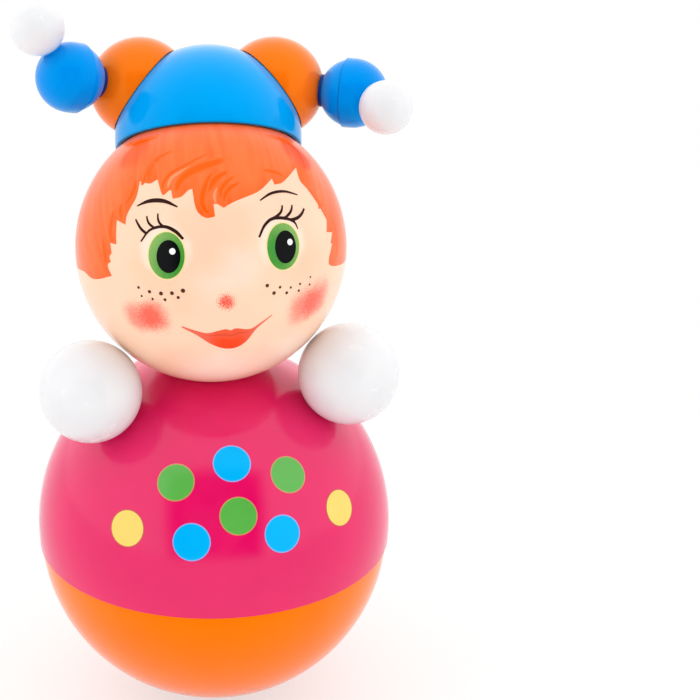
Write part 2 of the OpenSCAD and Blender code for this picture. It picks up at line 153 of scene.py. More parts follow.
@dataclass(frozen=True)
class Finish:
    """A finish: a mottled colour, a roughness that drifts and a fine bump, at sizes in millimetres."""

    name: str
    colour: str
    roughness: float = 0.13
    drift: float = 0.04
    mottle: float = 0.03
    mottle_mm: float = 22.0
    grain_mm: float = 1.6
    grain: float = 0.02
    grain_depth_mm: float = 0.2
    metallic: float = 0.0
    glow: float = 0.0
    glow_mm: float = 2.0
    ior: float = 1.5
    gloss: str = "#FFFFFF"

    def base(self, tree: Tree, place: Socket) -> Socket:
        """Mottles the colour.

        Args:
            tree: The material's node tree.
            place: The piece's own coordinates.

        Returns:
            The base colour.
        """
        noise = add_node(tree, NOISE, {"Vector": place, "Scale": 1 / (self.mottle_mm * MM), "Detail": 2.0})
        share = add_node(tree, RANGE, (noise, NOISE_LOW, NOISE_HIGH))
        dark, light = (linear(self.colour, 1 + change) for change in (-self.mottle, self.mottle))
        return add_node(tree, MIX, {0: share, 6: dark, 7: light}, **COLOURS)

    def extra(self, tree: Tree, shader: bpy.types.Node) -> None:
        """Adds nothing; some finishes have more to add."""

    def make(self) -> bpy.types.Material:
        """Makes the material once, or gives back the one made before.

        Returns:
            The material with this finish's name.
        """
        known = bpy.data.materials.get(self.name)
        if known:
            return known
        material = bpy.data.materials.new(self.name)
        material.use_nodes = True
        tree = material.node_tree
        shader = tree.nodes["Principled BSDF"]
        add = partial(add_node, tree)
        place = add("ShaderNodeTexCoord", output="Object")
        colour = self.base(tree, place)
        wear = add(NOISE, {"Vector": place, "Scale": 2 / (self.mottle_mm * MM), "Detail": 3.0})
        ends = (self.roughness - self.drift, self.roughness + self.drift)
        rough = add(RANGE, (wear, NOISE_LOW, NOISE_HIGH, ends[0], ends[1]))
        grain = add(NOISE, {"Vector": place, "Scale": 1 / (self.grain_mm * MM), "Detail": 4.0})
        relief = {"Strength": self.grain, "Distance": self.grain_depth_mm * MM, "Height": grain}
        bump = add("ShaderNodeBump", relief)
        for name, value in (("Base Color", colour), ("Roughness", rough), ("Normal", bump)):
            tree.links.new(value, shader.inputs[name])
        for name, value in (
            ("Metallic", self.metallic),
            ("IOR", self.ior),
            ("Specular Tint", linear(self.gloss)),
            ("Subsurface Weight", self.glow),
            ("Subsurface Radius", (1.0, 0.6, 0.4)),
            ("Subsurface Scale", self.glow_mm * MM),
        ):
            shader.inputs[name].default_value = value
        self.extra(tree, shader)
        return material


@dataclass(frozen=True)
class Blush:
    """A soft spot on the face: sprayed blush and tints, and painted light. Its place, inner and outer radius,
    colour, strength and speckle.
    """

    at: Angles
    inner_mm: float
    outer_mm: float
    colour: str
    strength: float
    speckle: float = 0.02


@dataclass(frozen=True)
class FacePlastic(Finish):
    """Flesh plastic with sprayed cheeks, nose and soft tints, and pale spots of painted light on the nose
    bridge, chin and jaw.
    """

    centre: tuple[float, float, float] = (0.0, 0.0, 0.0)
    ball_r: float = 1.0
    sprays: tuple[Blush, ...] = ()
    speck_mm: float = 0.4
    ragged_mm: float = 6.0
    ragged: float = 0.06

    def base(self, tree: Tree, place: Socket) -> Socket:
        """Lays each spot, the sprayed blush and tints and the painted light, over the plain flesh colour.

        Args:
            tree: The material's node tree.
            place: The piece's own coordinates.

        Returns:
            The base colour.
        """
        add = partial(add_node, tree)
        colour = Finish.base(self, tree, place)
        speck = add(NOISE, {"Vector": place, "Scale": 1 / (self.speck_mm * MM), "Detail": 1.0})
        patch = add(NOISE, {"Vector": place, "Scale": 1 / (self.ragged_mm * MM), "Detail": 2.0})
        for face_mark in self.sprays:
            spot = (Vector(self.centre) + bearing(*face_mark.at) * self.ball_r) * MM
            inner, outer = face_mark.inner_mm * MM, face_mark.outer_mm * MM
            most = self.ragged * outer
            shift = add(RANGE, (patch, NOISE_LOW, NOISE_HIGH, -most, most))
            far = add("ShaderNodeVectorMath", (place, spot), "Value", operation="DISTANCE")
            far = add(MATHS, (far, shift), operation="ADD")
            soft = add(RANGE, (far, inner, outer, 1.0, 0.0), **SMOOTH)
            grit = add(RANGE, (speck, NOISE_LOW, NOISE_HIGH, -face_mark.speckle, face_mark.speckle))
            grainy = add(MATHS, (soft, grit), operation="ADD")
            share = add(RANGE, (grainy, face_mark.speckle, 1.0, 0.0, face_mark.strength))
            colour = add(MIX, {0: share, 6: colour, 7: linear(face_mark.colour)}, **COLOURS)
        return colour


@dataclass(frozen=True)
class HairPaint(Finish):
    """Hair paint with brush streaks that follow the strands and a darker line along the hair's edge."""

    dark: str = "#FF5A00"
    ball_r: float = 1.0
    streak_mm: float = 3.94
    waves: float = 3.0
    streak_from: float = 0.36
    streak_share: float = 0.7
    edge_from: float = 0.94
    edge_share: float = 0.35

    def base(self, tree: Tree, place: Socket) -> Socket:
        """Streaks along the strands between the two tones of paint.

        Args:
            tree: The material's node tree.
            place: The piece's own coordinates.

        Returns:
            The base colour.
        """
        add = partial(add_node, tree)
        flow = add("ShaderNodeUVMap", uv_map=FLOW)
        streaks = round(2 * math.pi * self.ball_r / self.streak_mm)
        brush = add("ShaderNodeMapping", {"Vector": flow, "Scale": (streaks, self.waves, 1.0)})
        streak = add(NOISE, {"Vector": brush, "Scale": 1.0, "Detail": 3.0})
        streak = add(RANGE, (streak, self.streak_from, NOISE_HIGH, 0.0, self.streak_share))
        edge = add("ShaderNodeSeparateXYZ", {0: flow}, "Y")
        edge = add(RANGE, (edge, self.edge_from, 1.0, 0.0, self.edge_share))
        share = add(MATHS, (streak, edge), operation="ADD", use_clamp=True)
        return add(MIX, {0: share, 6: linear(self.colour), 7: linear(self.dark)}, **COLOURS)


@dataclass(frozen=True)
class StrokePaint(Finish):
    """Paint of a soft brush stroke, which fades into the paint under it at its edges and ends."""

    under: str = "#FFFFFF"
    end_fade: float = 0.12
    edge_fade: Pair = (0.04, 0.34)

    def base(self, tree: Tree, place: Socket) -> Socket:
        """Fades the stroke's colour along and across it.

        Args:
            tree: The material's node tree.
            place: The piece's own coordinates.

        Returns:
            The base colour.
        """
        add = partial(add_node, tree)
        flow = add("ShaderNodeUVMap", uv_map=FLOW)
        share = None
        for axis, low, high in (("X", 0.0, self.end_fade), ("Y", *self.edge_fade)):
            way = add("ShaderNodeSeparateXYZ", {0: flow}, axis)
            inward = add(MATHS, (way, 0.5), operation="PINGPONG")
            fade = add(RANGE, (inward, low, high), **SMOOTH)
            share = add(MATHS, (share, fade), operation="MULTIPLY") if share else fade
        return add(MIX, {0: share, 6: linear(self.under), 7: linear(self.colour)}, **COLOURS)


@dataclass(frozen=True)
class LipPaint(Finish):
    """Lip paint, brightest low in the middle and paler at the corners, with a dark line between the lips."""

    bright: str = "#FF4010"
    corner: str = "#EC6A54"
    line: str = "#D43C2A"
    corner_fade: Pair = (0.12, 0.34)
    low_fade: Pair = (0.28, 0.62)
    middle_fade: Pair = (0.22, 0.42)
    parting: float = 0.27
    line_fade: Pair = (0.02, 0.1)
    line_ends: Pair = (0.15, 0.3)
    line_share: float = 0.5

    def base(self, tree: Tree, place: Socket) -> Socket:
        """Shades the lips from corner to corner and from top to bottom.

        Args:
            tree: The material's node tree.
            place: The piece's own coordinates.

        Returns:
            The base colour.
        """
        add = partial(add_node, tree)
        flow = add("ShaderNodeUVMap", uv_map=FLOW)
        along, down = (add("ShaderNodeSeparateXYZ", {0: flow}, axis) for axis in "XY")
        inward = add(MATHS, (along, 0.5), operation="PINGPONG")
        full = add(RANGE, (inward, *self.corner_fade), **SMOOTH)
        colour = add(MIX, {0: full, 6: linear(self.corner), 7: linear(self.colour)}, **COLOURS)
        low = add(RANGE, (down, *self.low_fade), **SMOOTH)
        middle = add(RANGE, (inward, *self.middle_fade), **SMOOTH)
        share = add(MATHS, (low, middle), operation="MULTIPLY")
        colour = add(MIX, {0: share, 6: colour, 7: linear(self.bright)}, **COLOURS)
        off = add(MATHS, (down, self.parting), operation="SUBTRACT")
        off = add(MATHS, {0: off}, operation="ABSOLUTE")
        line = add(RANGE, (off, *self.line_fade, self.line_share, 0.0), **SMOOTH)
        within = add(RANGE, (inward, *self.line_ends))
        line = add(MATHS, (line, within), operation="MULTIPLY")
        return add(MIX, {0: line, 6: colour, 7: linear(self.line)}, **COLOURS)


@dataclass(frozen=True)
class IrisPaint(Finish):
    """Iris paint, light green on one side and deep green opposite and by the pupil, with fine rays."""

    deep: str = "#2F8F35"
    rays: float = 50.0
    ray_waves: float = 1.5
    ray_share: float = 0.1
    pupil_fade: Pair = (0.62, 0.86)
    pupil_share: float = 0.25

    def base(self, tree: Tree, place: Socket) -> Socket:
        """Deepens the green round the iris and towards the pupil.

        Args:
            tree: The material's node tree.
            place: The piece's own coordinates.

        Returns:
            The base colour.
        """
        add = partial(add_node, tree)
        flow = add("ShaderNodeUVMap", uv_map=FLOW)
        around, outward = (add("ShaderNodeSeparateXYZ", {0: flow}, axis) for axis in "XY")
        turn = add(MATHS, (around, 0.5), operation="PINGPONG")
        side = add(RANGE, (turn, 0.0, 0.5, 1.0, 0.0), **SMOOTH)
        spread = add("ShaderNodeMapping", {"Vector": flow, "Scale": (self.rays, self.ray_waves, 1.0)})
        ray = add(NOISE, {"Vector": spread, "Scale": 1.0, "Detail": 2.0})
        ray = add(RANGE, (ray, NOISE_LOW, NOISE_HIGH, -self.ray_share, self.ray_share))
        tone = add(MATHS, (side, ray), operation="ADD")
        near = add(RANGE, (outward, *self.pupil_fade, self.pupil_share, 0.0))
        tone = add(MATHS, (tone, near), operation="SUBTRACT", use_clamp=True)
        return add(MIX, {0: tone, 6: linear(self.deep), 7: linear(self.colour)}, **COLOURS)


@dataclass(frozen=True)
class FlagCloth(Finish):
    """Dark cloth whose edges fade into the white tent behind it."""

    tent: float = 1.0
    fade: float = 0.2

    def extra(self, tree: Tree, shader: bpy.types.Node) -> None:
        """Lights the edges as bright as the tent.

        Args:
            tree: The material's node tree.
            shader: The material's main shader.
        """
        add = partial(add_node, tree)
        flow = add("ShaderNodeUVMap", uv_map=FLOW)
        across, up = (add("ShaderNodeSeparateXYZ", {0: flow}, axis) for axis in "XY")
        across, up = (add(MATHS, (way, 0.5), operation="PINGPONG") for way in (across, up))
        inward = add(MATHS, (across, up), operation="MINIMUM")
        light = add(RANGE, (inward, 0.0, self.fade, self.tent, 0.0), **SMOOTH)
        shader.inputs["Emission Color"].default_value = linear("#FFFFFF")
        tree.links.new(light, shader.inputs["Emission Strength"])


@dataclass(frozen=True)
class FloorPaint(Finish):
    """Floor paint that shows part plain white: the toy's shadow stays light, and the far floor is white."""

    plain: float = 0.62
    near: float = 0.1
    far: float = 0.4

    def extra(self, tree: Tree, shader: bpy.types.Node) -> None:
        """Mixes plain white in for the eye and for gloss, and more of it away from the toy.

        Args:
            tree: The material's node tree.
            shader: The material's main shader.
        """
        add = partial(add_node, tree)
        path = add("ShaderNodeLightPath").node
        seen = path.outputs["Is Camera Ray"]
        for ray in ("Is Glossy Ray", "Is Transmission Ray"):
            seen = add(MATHS, (seen, path.outputs[ray]), operation="MAXIMUM")
        place = add("ShaderNodeTexCoord", output="Object")
        away = add("ShaderNodeVectorMath", {0: place}, "Value", operation="LENGTH")
        plain = add(RANGE, (away, self.near, self.far, self.plain, 1.0), **SMOOTH)
        share = add(MATHS, (seen, plain), operation="MULTIPLY")
        white = add("ShaderNodeEmission", {"Color": linear("#FFFFFF"), "Strength": 1.0})
        both = add("ShaderNodeMixShader", (share, shader.outputs["BSDF"], white))
        tree.links.new(both, tree.nodes["Material Output"].inputs["Surface"])


# Forms


def bearing(azimuth: float, elevation: float) -> Vector:
    """Direction on a ball.

    Args:
        azimuth: Degrees from the front (-Y) towards the viewer's right (+X).
        elevation: Degrees above the ball's middle.

    Returns:
        The unit vector.
    """
    a, e = math.radians(azimuth), math.radians(elevation)
    return Vector((math.sin(a) * math.cos(e), -math.cos(a) * math.cos(e), math.sin(e)))


def arc(centre_z: float, radius: float, start: float, end: float, steps: int) -> Profile:
    """Points of a ball's outline, as (radius from the axis, height).

    Args:
        centre_z: Height of the ball's centre.
        radius: The ball's radius.
        start: First angle above the ball's middle, in degrees.
        end: Last angle.
        steps: Number of steps between them.

    Returns:
        The points from start to end.
    """
    angles = [math.radians(start + (end - start) * i / steps) for i in range(steps + 1)]
    return [(max(0.0, radius * math.cos(a)), centre_z + radius * math.sin(a)) for a in angles]


def latitude(height: float, radius: float) -> float:
    """Angle above a ball's middle, in degrees, of a point at that height over it."""
    return math.degrees(math.asin(max(-1.0, min(1.0, height / radius))))


def eased(start: Pair, corner: Pair, end: Pair, steps: int = 4) -> Profile:
    """A rounded edge.

    Args:
        start: First point, as (radius, height).
        corner: The sharp corner that is rounded off.
        end: Last point.
        steps: Number of steps between them.

    Returns:
        The points after start, up to end.
    """
    points = []
    for i in range(1, steps + 1):
        t = i / steps
        weights = ((1 - t) ** 2, 2 * t * (1 - t), t * t)
        points.append(tuple(sum(w * p[k] for w, p in zip(weights, (start, corner, end))) for k in (0, 1)))
    return points


class Form:
    """Collects closed meshes in the toy's frame, in millimetres, and turns them into one piece."""

    def __init__(self) -> None:
        """Starts with an empty mesh."""
        self.mesh = bmesh.new()
        self.flow = self.mesh.loops.layers.uv.new(FLOW)

    def turn(self, profile: Profile, place: Matrix, steps: int, sweep: Pair = (0.0, 360.0)) -> None:
        """Turns an outline round the axis of a frame.

        Args:
            profile: Points as (radius, height). It starts and ends on the axis, or is a loop clear of it.
            place: The frame, whose Z is the axis.
            steps: Steps round the axis.
            sweep: First and last angle in degrees. A part turn of a loop is closed by flat ends.
        """
        bm = self.mesh
        full = sweep[1] - sweep[0] >= 360.0
        count = steps if full else steps + 1
        on_axis = 1e-6
        loop = profile[0][0] > on_axis
        angles = [math.radians(sweep[0] + (sweep[1] - sweep[0]) * i / steps) for i in range(count)]
        rows = []
        for radius, height in profile:
            ring = angles if radius > on_axis else angles[:1]
            spots = (Vector((radius * math.cos(a), radius * math.sin(a), height)) for a in ring)
            rows.append([bm.verts.new(place @ spot) for spot in spots])
        pairs = list(zip(rows, rows[1:])) + ([(rows[-1], rows[0])] if loop else [])
        faces = []
        for low, high in pairs:
            for i in range(steps):
                j = (i + 1) % count
                corners = [low[i % len(low)], low[j % len(low)], high[j % len(high)], high[i % len(high)]]
                corners = list(dict.fromkeys(corners))
                if len(corners) > 2:
                    faces.append(bm.faces.new(corners))
        if loop and not full:
            faces += [bm.faces.new([row[end] for row in rows]) for end in (0, -1)]
        bmesh.ops.recalc_face_normals(bm, faces=faces)

    def tube(self, outer: float, inner: float, low: float, high: float, place: Matrix) -> None:
        """A short plain tube along the axis of a frame."""
        self.turn([(inner, low), (outer, low), (outer, high), (inner, high)], place, 48)

    def coat(self, centre: Vector, radius: float, grid: Grid, layer: Layer, wrap: bool) -> None:
        """Lays a thin closed layer of paint on a ball.

        Args:
            centre: The ball's centre.
            radius: The ball's radius.
            grid: Rows of directions from the centre. Rows run from a patch's middle or one edge to the other.
            layer: The paint's layer.
            wrap: True if each row closes on itself.
        """
        bm = self.mesh
        levels = (radius + layer.value, radius - PAINT_ROOT)
        top, low = ([[bm.verts.new(centre + d * r) for d in row] for row in grid] for r in levels)
        faces, rows, columns = [], len(grid), len(grid[0])
        for i in range(rows - 1):
            for j in range(columns if wrap else columns - 1):
                k = (j + 1) % columns
                for sheet in (top, low):
                    face = bm.faces.new((sheet[i][j], sheet[i][k], sheet[i + 1][k], sheet[i + 1][j]))
                    for loop, (u, v) in zip(face.loops, ((j, i), (j + 1, i), (j + 1, i + 1), (j, i + 1))):
                        loop[self.flow].uv = (u / columns, v / (rows - 1))
                    faces.append(face)
        edges = [[(i, j) for j in range(columns)] + ([(i, 0)] if wrap else []) for i in (0, rows - 1)]
        if not wrap:
            edges += [[(i, j) for i in range(rows)] for j in (0, columns - 1)]
        for edge in edges:
            for (a, b), (c, d) in zip(edge, edge[1:]):
                faces.append(bm.faces.new((top[a][b], top[c][d], low[c][d], low[a][b])))
        corners = list({v for f in faces for v in f.verts})
        bmesh.ops.remove_doubles(bm, verts=corners, dist=1e-4)
        bmesh.ops.recalc_face_normals(bm, faces=[f for f in faces if f.is_valid])

    def shape(self, name: str) -> bpy.types.Mesh:
        """Turns the meshes into one plain mesh in metres.

        Args:
            name: The mesh's name.

        Returns:
            The mesh.
        """
        bmesh.ops.scale(self.mesh, vec=(MM, MM, MM), verts=self.mesh.verts)
        data = bpy.data.meshes.new(name)
        self.mesh.to_mesh(data)
        self.mesh.free()
        return data

    def make(
        self, name: str, finish: Finish, body: str = DOLL, slot: str = "", nodes: Sequence[str] = ()
    ) -> None:
        """Turns the meshes into a piece of the toy.

        Args:
            name: The piece's name.
            finish: Its finish.
            body: The CAD body that it rides on.
            slot: The record's material slot, if it has one; not used.
            nodes: The CAD nodes that it stands for.
        """
        settle(bpy.data.objects.new(name, self.shape(name)), finish, body, nodes)


def settle(
    piece: bpy.types.Object, finish: Finish, body: str, nodes: Sequence[str] = ()
) -> None:
    """Shades a piece, gives it its finish and sets it on its body.

    Args:
        piece: The piece, not yet in the scene.
        finish: Its finish.
        body: The CAD body that it rides on.
        nodes: The CAD nodes that it stands for.
    """
    data = piece.data
    for polygon in data.polygons:
        polygon.use_smooth = True
    data.set_sharp_from_angle(angle=math.radians(CREASE))
    data.materials.clear()
    data.materials.append(finish.make())
    bpy.context.scene.collection.objects.link(piece)
    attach(piece, body)
    if nodes:
        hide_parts(*nodes)
    LOG.info("%s: %d faces on %s", piece.name, len(data.polygons), body)


def oval(at: Angles, half: Angles, tilt: float = 0.0, start: float = 0.0, steps: int = 64) -> Grid:
    """Directions that fill an oval on a ball.

    Args:
        at: Azimuth and elevation of its middle.
        half: Its half width and half height, in degrees.
        tilt: Turn of its top towards the viewer's right, in degrees.
        start: Where each ring starts, in degrees from its right end.
        steps: Points in each ring.

    Returns:
        The rings, from the middle out.
    """
    out = bearing(*at)
    right = Vector((math.cos(math.radians(at[0])), math.sin(math.radians(at[0])), 0.0))
    up = out.cross(right)
    if up.z < 0:
        up.negate()
    lean = math.radians(tilt)
    across = right * math.cos(lean) - up * math.sin(lean)
    along = right * math.sin(lean) + up * math.cos(lean)
    turns = [math.radians(start + 360 * i / steps) for i in range(steps)]
    grid, rings = [], 6
    for ring in range(rings + 1):
        row = []
        for a in turns:
            offset = (across * (half[0] * math.cos(a)) + along * (half[1] * math.sin(a))) * (ring / rings)
            angle = math.radians(offset.length)
            row.append(out * math.cos(angle) + offset.normalized() * math.sin(angle))
        grid.append(row)
    return grid


def smooth_path(points: Sequence[Angles], steps: int) -> list[Vector]:
    """A smooth path of directions through points on a ball.

    Args:
        points: Azimuth and elevation of each point.
        steps: Number of steps along the whole path.

    Returns:
        The directions, evenly spread between the points.
    """
    spots = [bearing(*p) for p in points]
    spots = [spots[0] * 2 - spots[1], *spots, spots[-1] * 2 - spots[-2]]
    path, last = [], len(points) - 1
    for i in range(steps + 1):
        t = min(i / steps * last, last - 1e-6)
        k, f = int(t), t - int(t)
        a, b, c, d = spots[k : k + 4]
        curve = (2 * a - 5 * b + 4 * c - d) * f**2 + (3 * b - a - 3 * c + d) * f**3
        path.append((0.5 * (2 * b + (c - a) * f + curve)).normalized())
    return path


@dataclass(frozen=True)
class Stroke:
    """A brush stroke on a ball that tapers to both ends.

    Its points are azimuths and elevations along it, and its width is in degrees at the widest. Start and end
    are shares of that width at its ends. Bulge is where it is widest, from 0 at its start to 1 at its end.
    """

    points: tuple[Angles, ...]
    width: float
    start: float
    end: float
    bulge: float

    def rows(self) -> Grid:
        """Rows of directions along the stroke.

        Returns:
            One edge, the middle and the other edge.
        """
        path = smooth_path(self.points, 8 * len(self.points))
        last = len(path) - 1
        rows = [[], [], []]
        for i, spot in enumerate(path):
            ahead = (path[min(i + 1, last)] - path[max(i - 1, 0)]).normalized()
            side = spot.cross(ahead).normalized()
            t = i / last
            if t < self.bulge:
                share = self.start + (1 - self.start) * math.sin(0.5 * math.pi * t / self.bulge)
            else:
                turn = 0.5 * math.pi * (t - self.bulge) / (1 - self.bulge)
                share = self.end + (1 - self.end) * math.cos(turn)
            half = math.radians(self.width / 2 * share)
            for row, offset in zip(rows, (-half, 0.0, half)):
                row.append((spot + side * math.tan(offset)).normalized())
        return rows


# Sizes and frames, as the CAD solids have them


def spin(axis: str, degrees: float) -> Matrix:
    """A turn about one axis."""
    return Matrix.Rotation(math.radians(degrees), 4, axis)


def rise(distance: float) -> Matrix:
    """A move along Z."""
    return Matrix.Translation((0, 0, distance))


@dataclass(frozen=True)
class Sizes:
    """The toy's main sizes in millimetres and degrees, and the frames of its balls."""

    bowl_r: float = 75.0
    rest_r: float = 7.0
    upper_r: float = 76.0
    upper_lift: float = 3.7
    seam_drop: float = 4.2
    head_r: float = 56.4
    head_sink: float = 5.6
    seat_drop: float = 1.0
    hat_r: float = 39.2
    hat_tilt: float = 35.5
    hat_turn: float = -6.5
    brim_drop: float = 4.2
    brim_w: float = 1.6
    hat_gap: float = 0.4
    horn_r: float = 21.1
    horn_lean: float = 51.5
    horn_sink: float = 3.1
    horn_angle: float = 2.0
    tip_r: float = 14.6
    tip_step: float = 0.3
    tip_foot_r: float = 6.8
    tip_seam: float = 3.5
    tip_bend: float = 50.0
    bobble_r: float = 11.2
    bobble_sink: float = 0.8
    bobble_bend: float = 45.5
    hand_r: float = 21.3
    hand_sink: float = 1.3
    hand_swing: float = 66.0
    hand_gap: float = 0.8
    fit: float = 0.06
    ball_gap: float = 0.3
    pad_r: float = 5.4
    pad_rise: float = 0.6
    pad_root: float = 1.2
    post_r: float = 4.0
    tip_angles: tuple[float, float] = (223.5, -19.5)
    bobble_angles: tuple[float, float] = (134.0, -43.5)

    @property
    def bowl_z(self) -> float:
        """Height of the bowl's centre."""
        return math.sqrt(self.bowl_r**2 - self.rest_r**2)

    @property
    def seam_z(self) -> float:
        """Height of the seam between bowl and upper shell."""
        return self.bowl_z - self.seam_drop

    @property
    def upper_z(self) -> float:
        """Height of the upper shell's centre."""
        return self.bowl_z + self.upper_lift

    @property
    def head_z(self) -> float:
        """Height of the head's centre."""
        return self.upper_z + self.upper_r + self.head_r - self.head_sink

    @property
    def head_centre(self) -> Vector:
        """The head's centre."""
        return Vector((0, 0, self.head_z))

    @property
    def neck_seat(self) -> float:
        """Height of the flat that the head's neck flange sits on."""
        return self.head_z - self.head_r - self.ball_gap - self.seat_drop

    @property
    def hat_lift(self) -> float:
        """Distance from the head's centre to the hat dome's centre."""
        inner = math.sqrt(self.hat_r**2 - self.brim_drop**2) - self.brim_w
        return math.sqrt((self.head_r + self.hat_gap) ** 2 - inner**2) + self.brim_drop

    @property
    def horn_reach(self) -> float:
        """Distance from the dome's centre to a horn's centre."""
        return self.hat_r - self.horn_sink

    @property
    def tip_foot(self) -> float:
        """Distance from a tip's centre to the flat that it stands on."""
        return math.sqrt((self.tip_r - self.tip_step) ** 2 - self.tip_foot_r**2)

    @property
    def tip_reach(self) -> float:
        """Distance from a horn's centre to its tip's centre."""
        return self.horn_r + self.pad_rise + self.tip_foot

    @property
    def bobble_reach(self) -> float:
        """Distance from a tip's centre to its bobble's centre."""
        return self.tip_r + self.bobble_r - self.bobble_sink

    @property
    def hand_reach(self) -> float:
        """Distance from the upper shell's centre to a hand's centre."""
        return self.upper_r + self.hand_r - self.hand_sink

    @property
    def hand_lean(self) -> float:
        """Lean of a hand's axis from upright, in degrees."""
        neck, far = self.head_z - self.upper_z, self.head_r + self.hand_r + self.hand_gap
        return math.degrees(math.acos((self.hand_reach**2 + neck**2 - far**2) / (2 * self.hand_reach * neck)))

    def hat(self) -> Matrix:
        """Frame at the hat dome's centre with Z along the hat's axis."""
        turn = spin("Z", self.hat_turn) @ spin("X", -self.hat_tilt)
        return Matrix.Translation(self.head_centre) @ turn @ rise(self.hat_lift)

    def horn(self, side: Side) -> Matrix:
        """Frame at a horn's centre with Z along the horn's axis."""
        turn = spin("Z", self.horn_angle) @ spin("Y", side.value * self.horn_lean)
        return self.hat() @ turn @ rise(self.horn_reach)

    def tip(self, side: Side) -> Matrix:
        """Frame at a tip's centre with Z along the tip's axis."""
        turn = spin("Z", self.tip_angles[side is Side.RIGHT]) @ spin("Y", self.tip_bend)
        return self.horn(side) @ turn @ rise(self.tip_reach)

    def bobble(self, side: Side) -> Matrix:
        """Frame at a tip's centre with Z along the bobble's axis."""
        turn = spin("Z", self.bobble_angles[side is Side.RIGHT]) @ spin("Y", self.bobble_bend)
        return self.tip(side) @ turn

    def hand(self, side: Side) -> Matrix:
        """Frame at the upper shell's centre with Z along a hand's axis."""
        return rise(self.upper_z) @ spin("Z", side.value * self.hand_swing) @ spin("X", self.hand_lean)


SIZES = Sizes()

# The toy's materials

# ABS from a polished mould is even and smooth: strong flat colour with soft, clear reflections. Enamel
# sprayed on the face adds speckled red spots and faint tints. Pale spots on the nose bridge are a painted
# highlight, and pale spots on the chin and jaw are painted light where these lie in shade.
FLESH = FacePlastic(
    "Flesh ABS, polished mould", "#FFD0B2", roughness=0.16, glow=0.08,
    centre=tuple(SIZES.head_centre), ball_r=SIZES.head_r,
    sprays=(
        Blush((-34.0, 12.0), 3.0, 17.0, "#FFC196", 0.32),
        Blush((33.0, 13.0), 3.0, 17.0, "#FFC196", 0.32),
        Blush((-6.0, 15.0), 0.5, 6.5, "#FFC79A", 0.2),
        # Painted highlight: pale spots on the nose bridge and beside the nose.
        Blush((4.1, 12.6), 1.0, 14.0, "#FFE6DA", 0.4),
        Blush((-7.3, 6.6), 1.0, 11.0, "#FFE2D2", 0.25),
        Blush((-20.8, -1.6), 1.0, 12.0, "#FFC39C", 0.3),
        Blush((-28.0, 19.0), 8.0, 13.0, "#FFEBDD", 0.55, 0.05),
        Blush((25.0, 20.0), 8.0, 13.0, "#FFEBDD", 0.55, 0.05),
        # Painted light: pale spots on the chin and jaw, where these lie in shade over the body.
        Blush((-3.6, -43.6), 4.0, 24.0, "#FFEAD8", 0.7),
        Blush((32.0, -36.0), 2.0, 19.0, "#FFEAD8", 0.5),
        Blush((-41.0, -12.0), 1.0, 11.4, "#FF6E5A", 0.85, 0.22),
        Blush((-33.2, -10.4), 1.5, 12.4, "#FF6E5A", 0.9, 0.22),
        Blush((-34.0, -10.2), 1.0, 10.2, "#FA4C30", 0.75, 0.22),
        Blush((34.0, -10.0), 1.5, 13.2, "#FF6E5A", 0.9, 0.22),
        Blush((42.4, -9.0), 1.5, 13.6, "#FF6E5A", 0.9, 0.22),
        Blush((39.2, -9.8), 1.0, 10.4, "#FA503A", 0.6, 0.22),
        Blush((-1.9, -1.4), 0.6, 6.2, "#F24428", 1.0, 0.34),
    ),
)
# A strong pigment keeps the pink deep, with a pale wash where the gloss mirrors the tent.
PINK = Finish("Pink ABS, polished mould", "#E2045F", roughness=0.15)
# Orange pigment colours the gloss too, so the bowl stays warm where it mirrors white.
ORANGE = Finish("Orange ABS, polished mould", "#FF7400", gloss="#FFCB00")
# The same orange, a little duller on the small horns.
HORN_ORANGE = Finish("Horn orange ABS, polished mould", "#FF7206", roughness=0.18, gloss="#FFE070")
# A clear sky blue with a cool gloss.
HAT_BLUE = Finish("Sky blue ABS, polished mould", "#009EEC", roughness=0.14, ior=1.38, gloss="#00DCFF")
# A deeper blue, softer in its gloss than the hat.
TIP_BLUE = Finish("Deep blue ABS, polished mould", "#008CE8", roughness=0.2, ior=1.4, gloss="#00FFFF")
# Painted shade: a dark blue on thin rings in the tip's joints, where the same blue plastic lies in shadow, so
# each joint reads as a dark line.
TIP_SHADE = Finish("Dark blue ABS, in a joint", "#0B2C74", roughness=0.45, ior=1.25)
# White pigment lets a little light in, so the balls look soft and show no hard highlight.
WHITE = Finish("White ABS, polished mould", "#E6E6E8", roughness=0.24, glow=0.1)
# Enamel brushed on in strands: streaks of two close tones under an even gloss.
HAIR = HairPaint(
    "Orange enamel, brushed", "#FF7236", roughness=0.18, ior=1.42, gloss="#FFD8B8", dark="#FF5C12",
    ball_r=SIZES.head_r,
)
# A second, deeper coat in single strokes, soft at their edges.
HAIR_DARK = StrokePaint(
    "Deep orange enamel, brushed", "#FF5A00", roughness=0.18, ior=1.42, gloss="#FFC890", under="#FF6E30"
)
# A thin pale coat in a few strokes between the deep ones: partly pale brushwork, partly a painted highlight
# of the hair's gloss.
HAIR_PALE_AND_HIGHLIGHT = StrokePaint(
    "Pale orange enamel, brushed", "#FF9064", roughness=0.18, ior=1.42, gloss="#FFD8B8", under="#FF723A"
)
# Thin lines of nearly black brown with little gloss.
LASH = Finish("Dark brown enamel, lined", "#2E120C", roughness=0.28, ior=1.2)
# A flat black spot that stays dark under the light.
PUPIL = Finish("Black enamel, dabbed", "#07080A", roughness=0.15, ior=1.18)
# Green from light to deep round the eye, with faint rays.
IRIS = IrisPaint("Green enamel, sprayed", "#80AE58", roughness=0.18, ior=1.35, deep="#38902A")
# A pale ring that lets the green glow against the face.
IRIS_RIM = Finish("Pale yellow enamel, sprayed", "#F2DA9A", roughness=0.22)
# A small white spot that reads as a glint.
GLINT = Finish("White enamel, dabbed", "#FFFFFF", roughness=0.25)
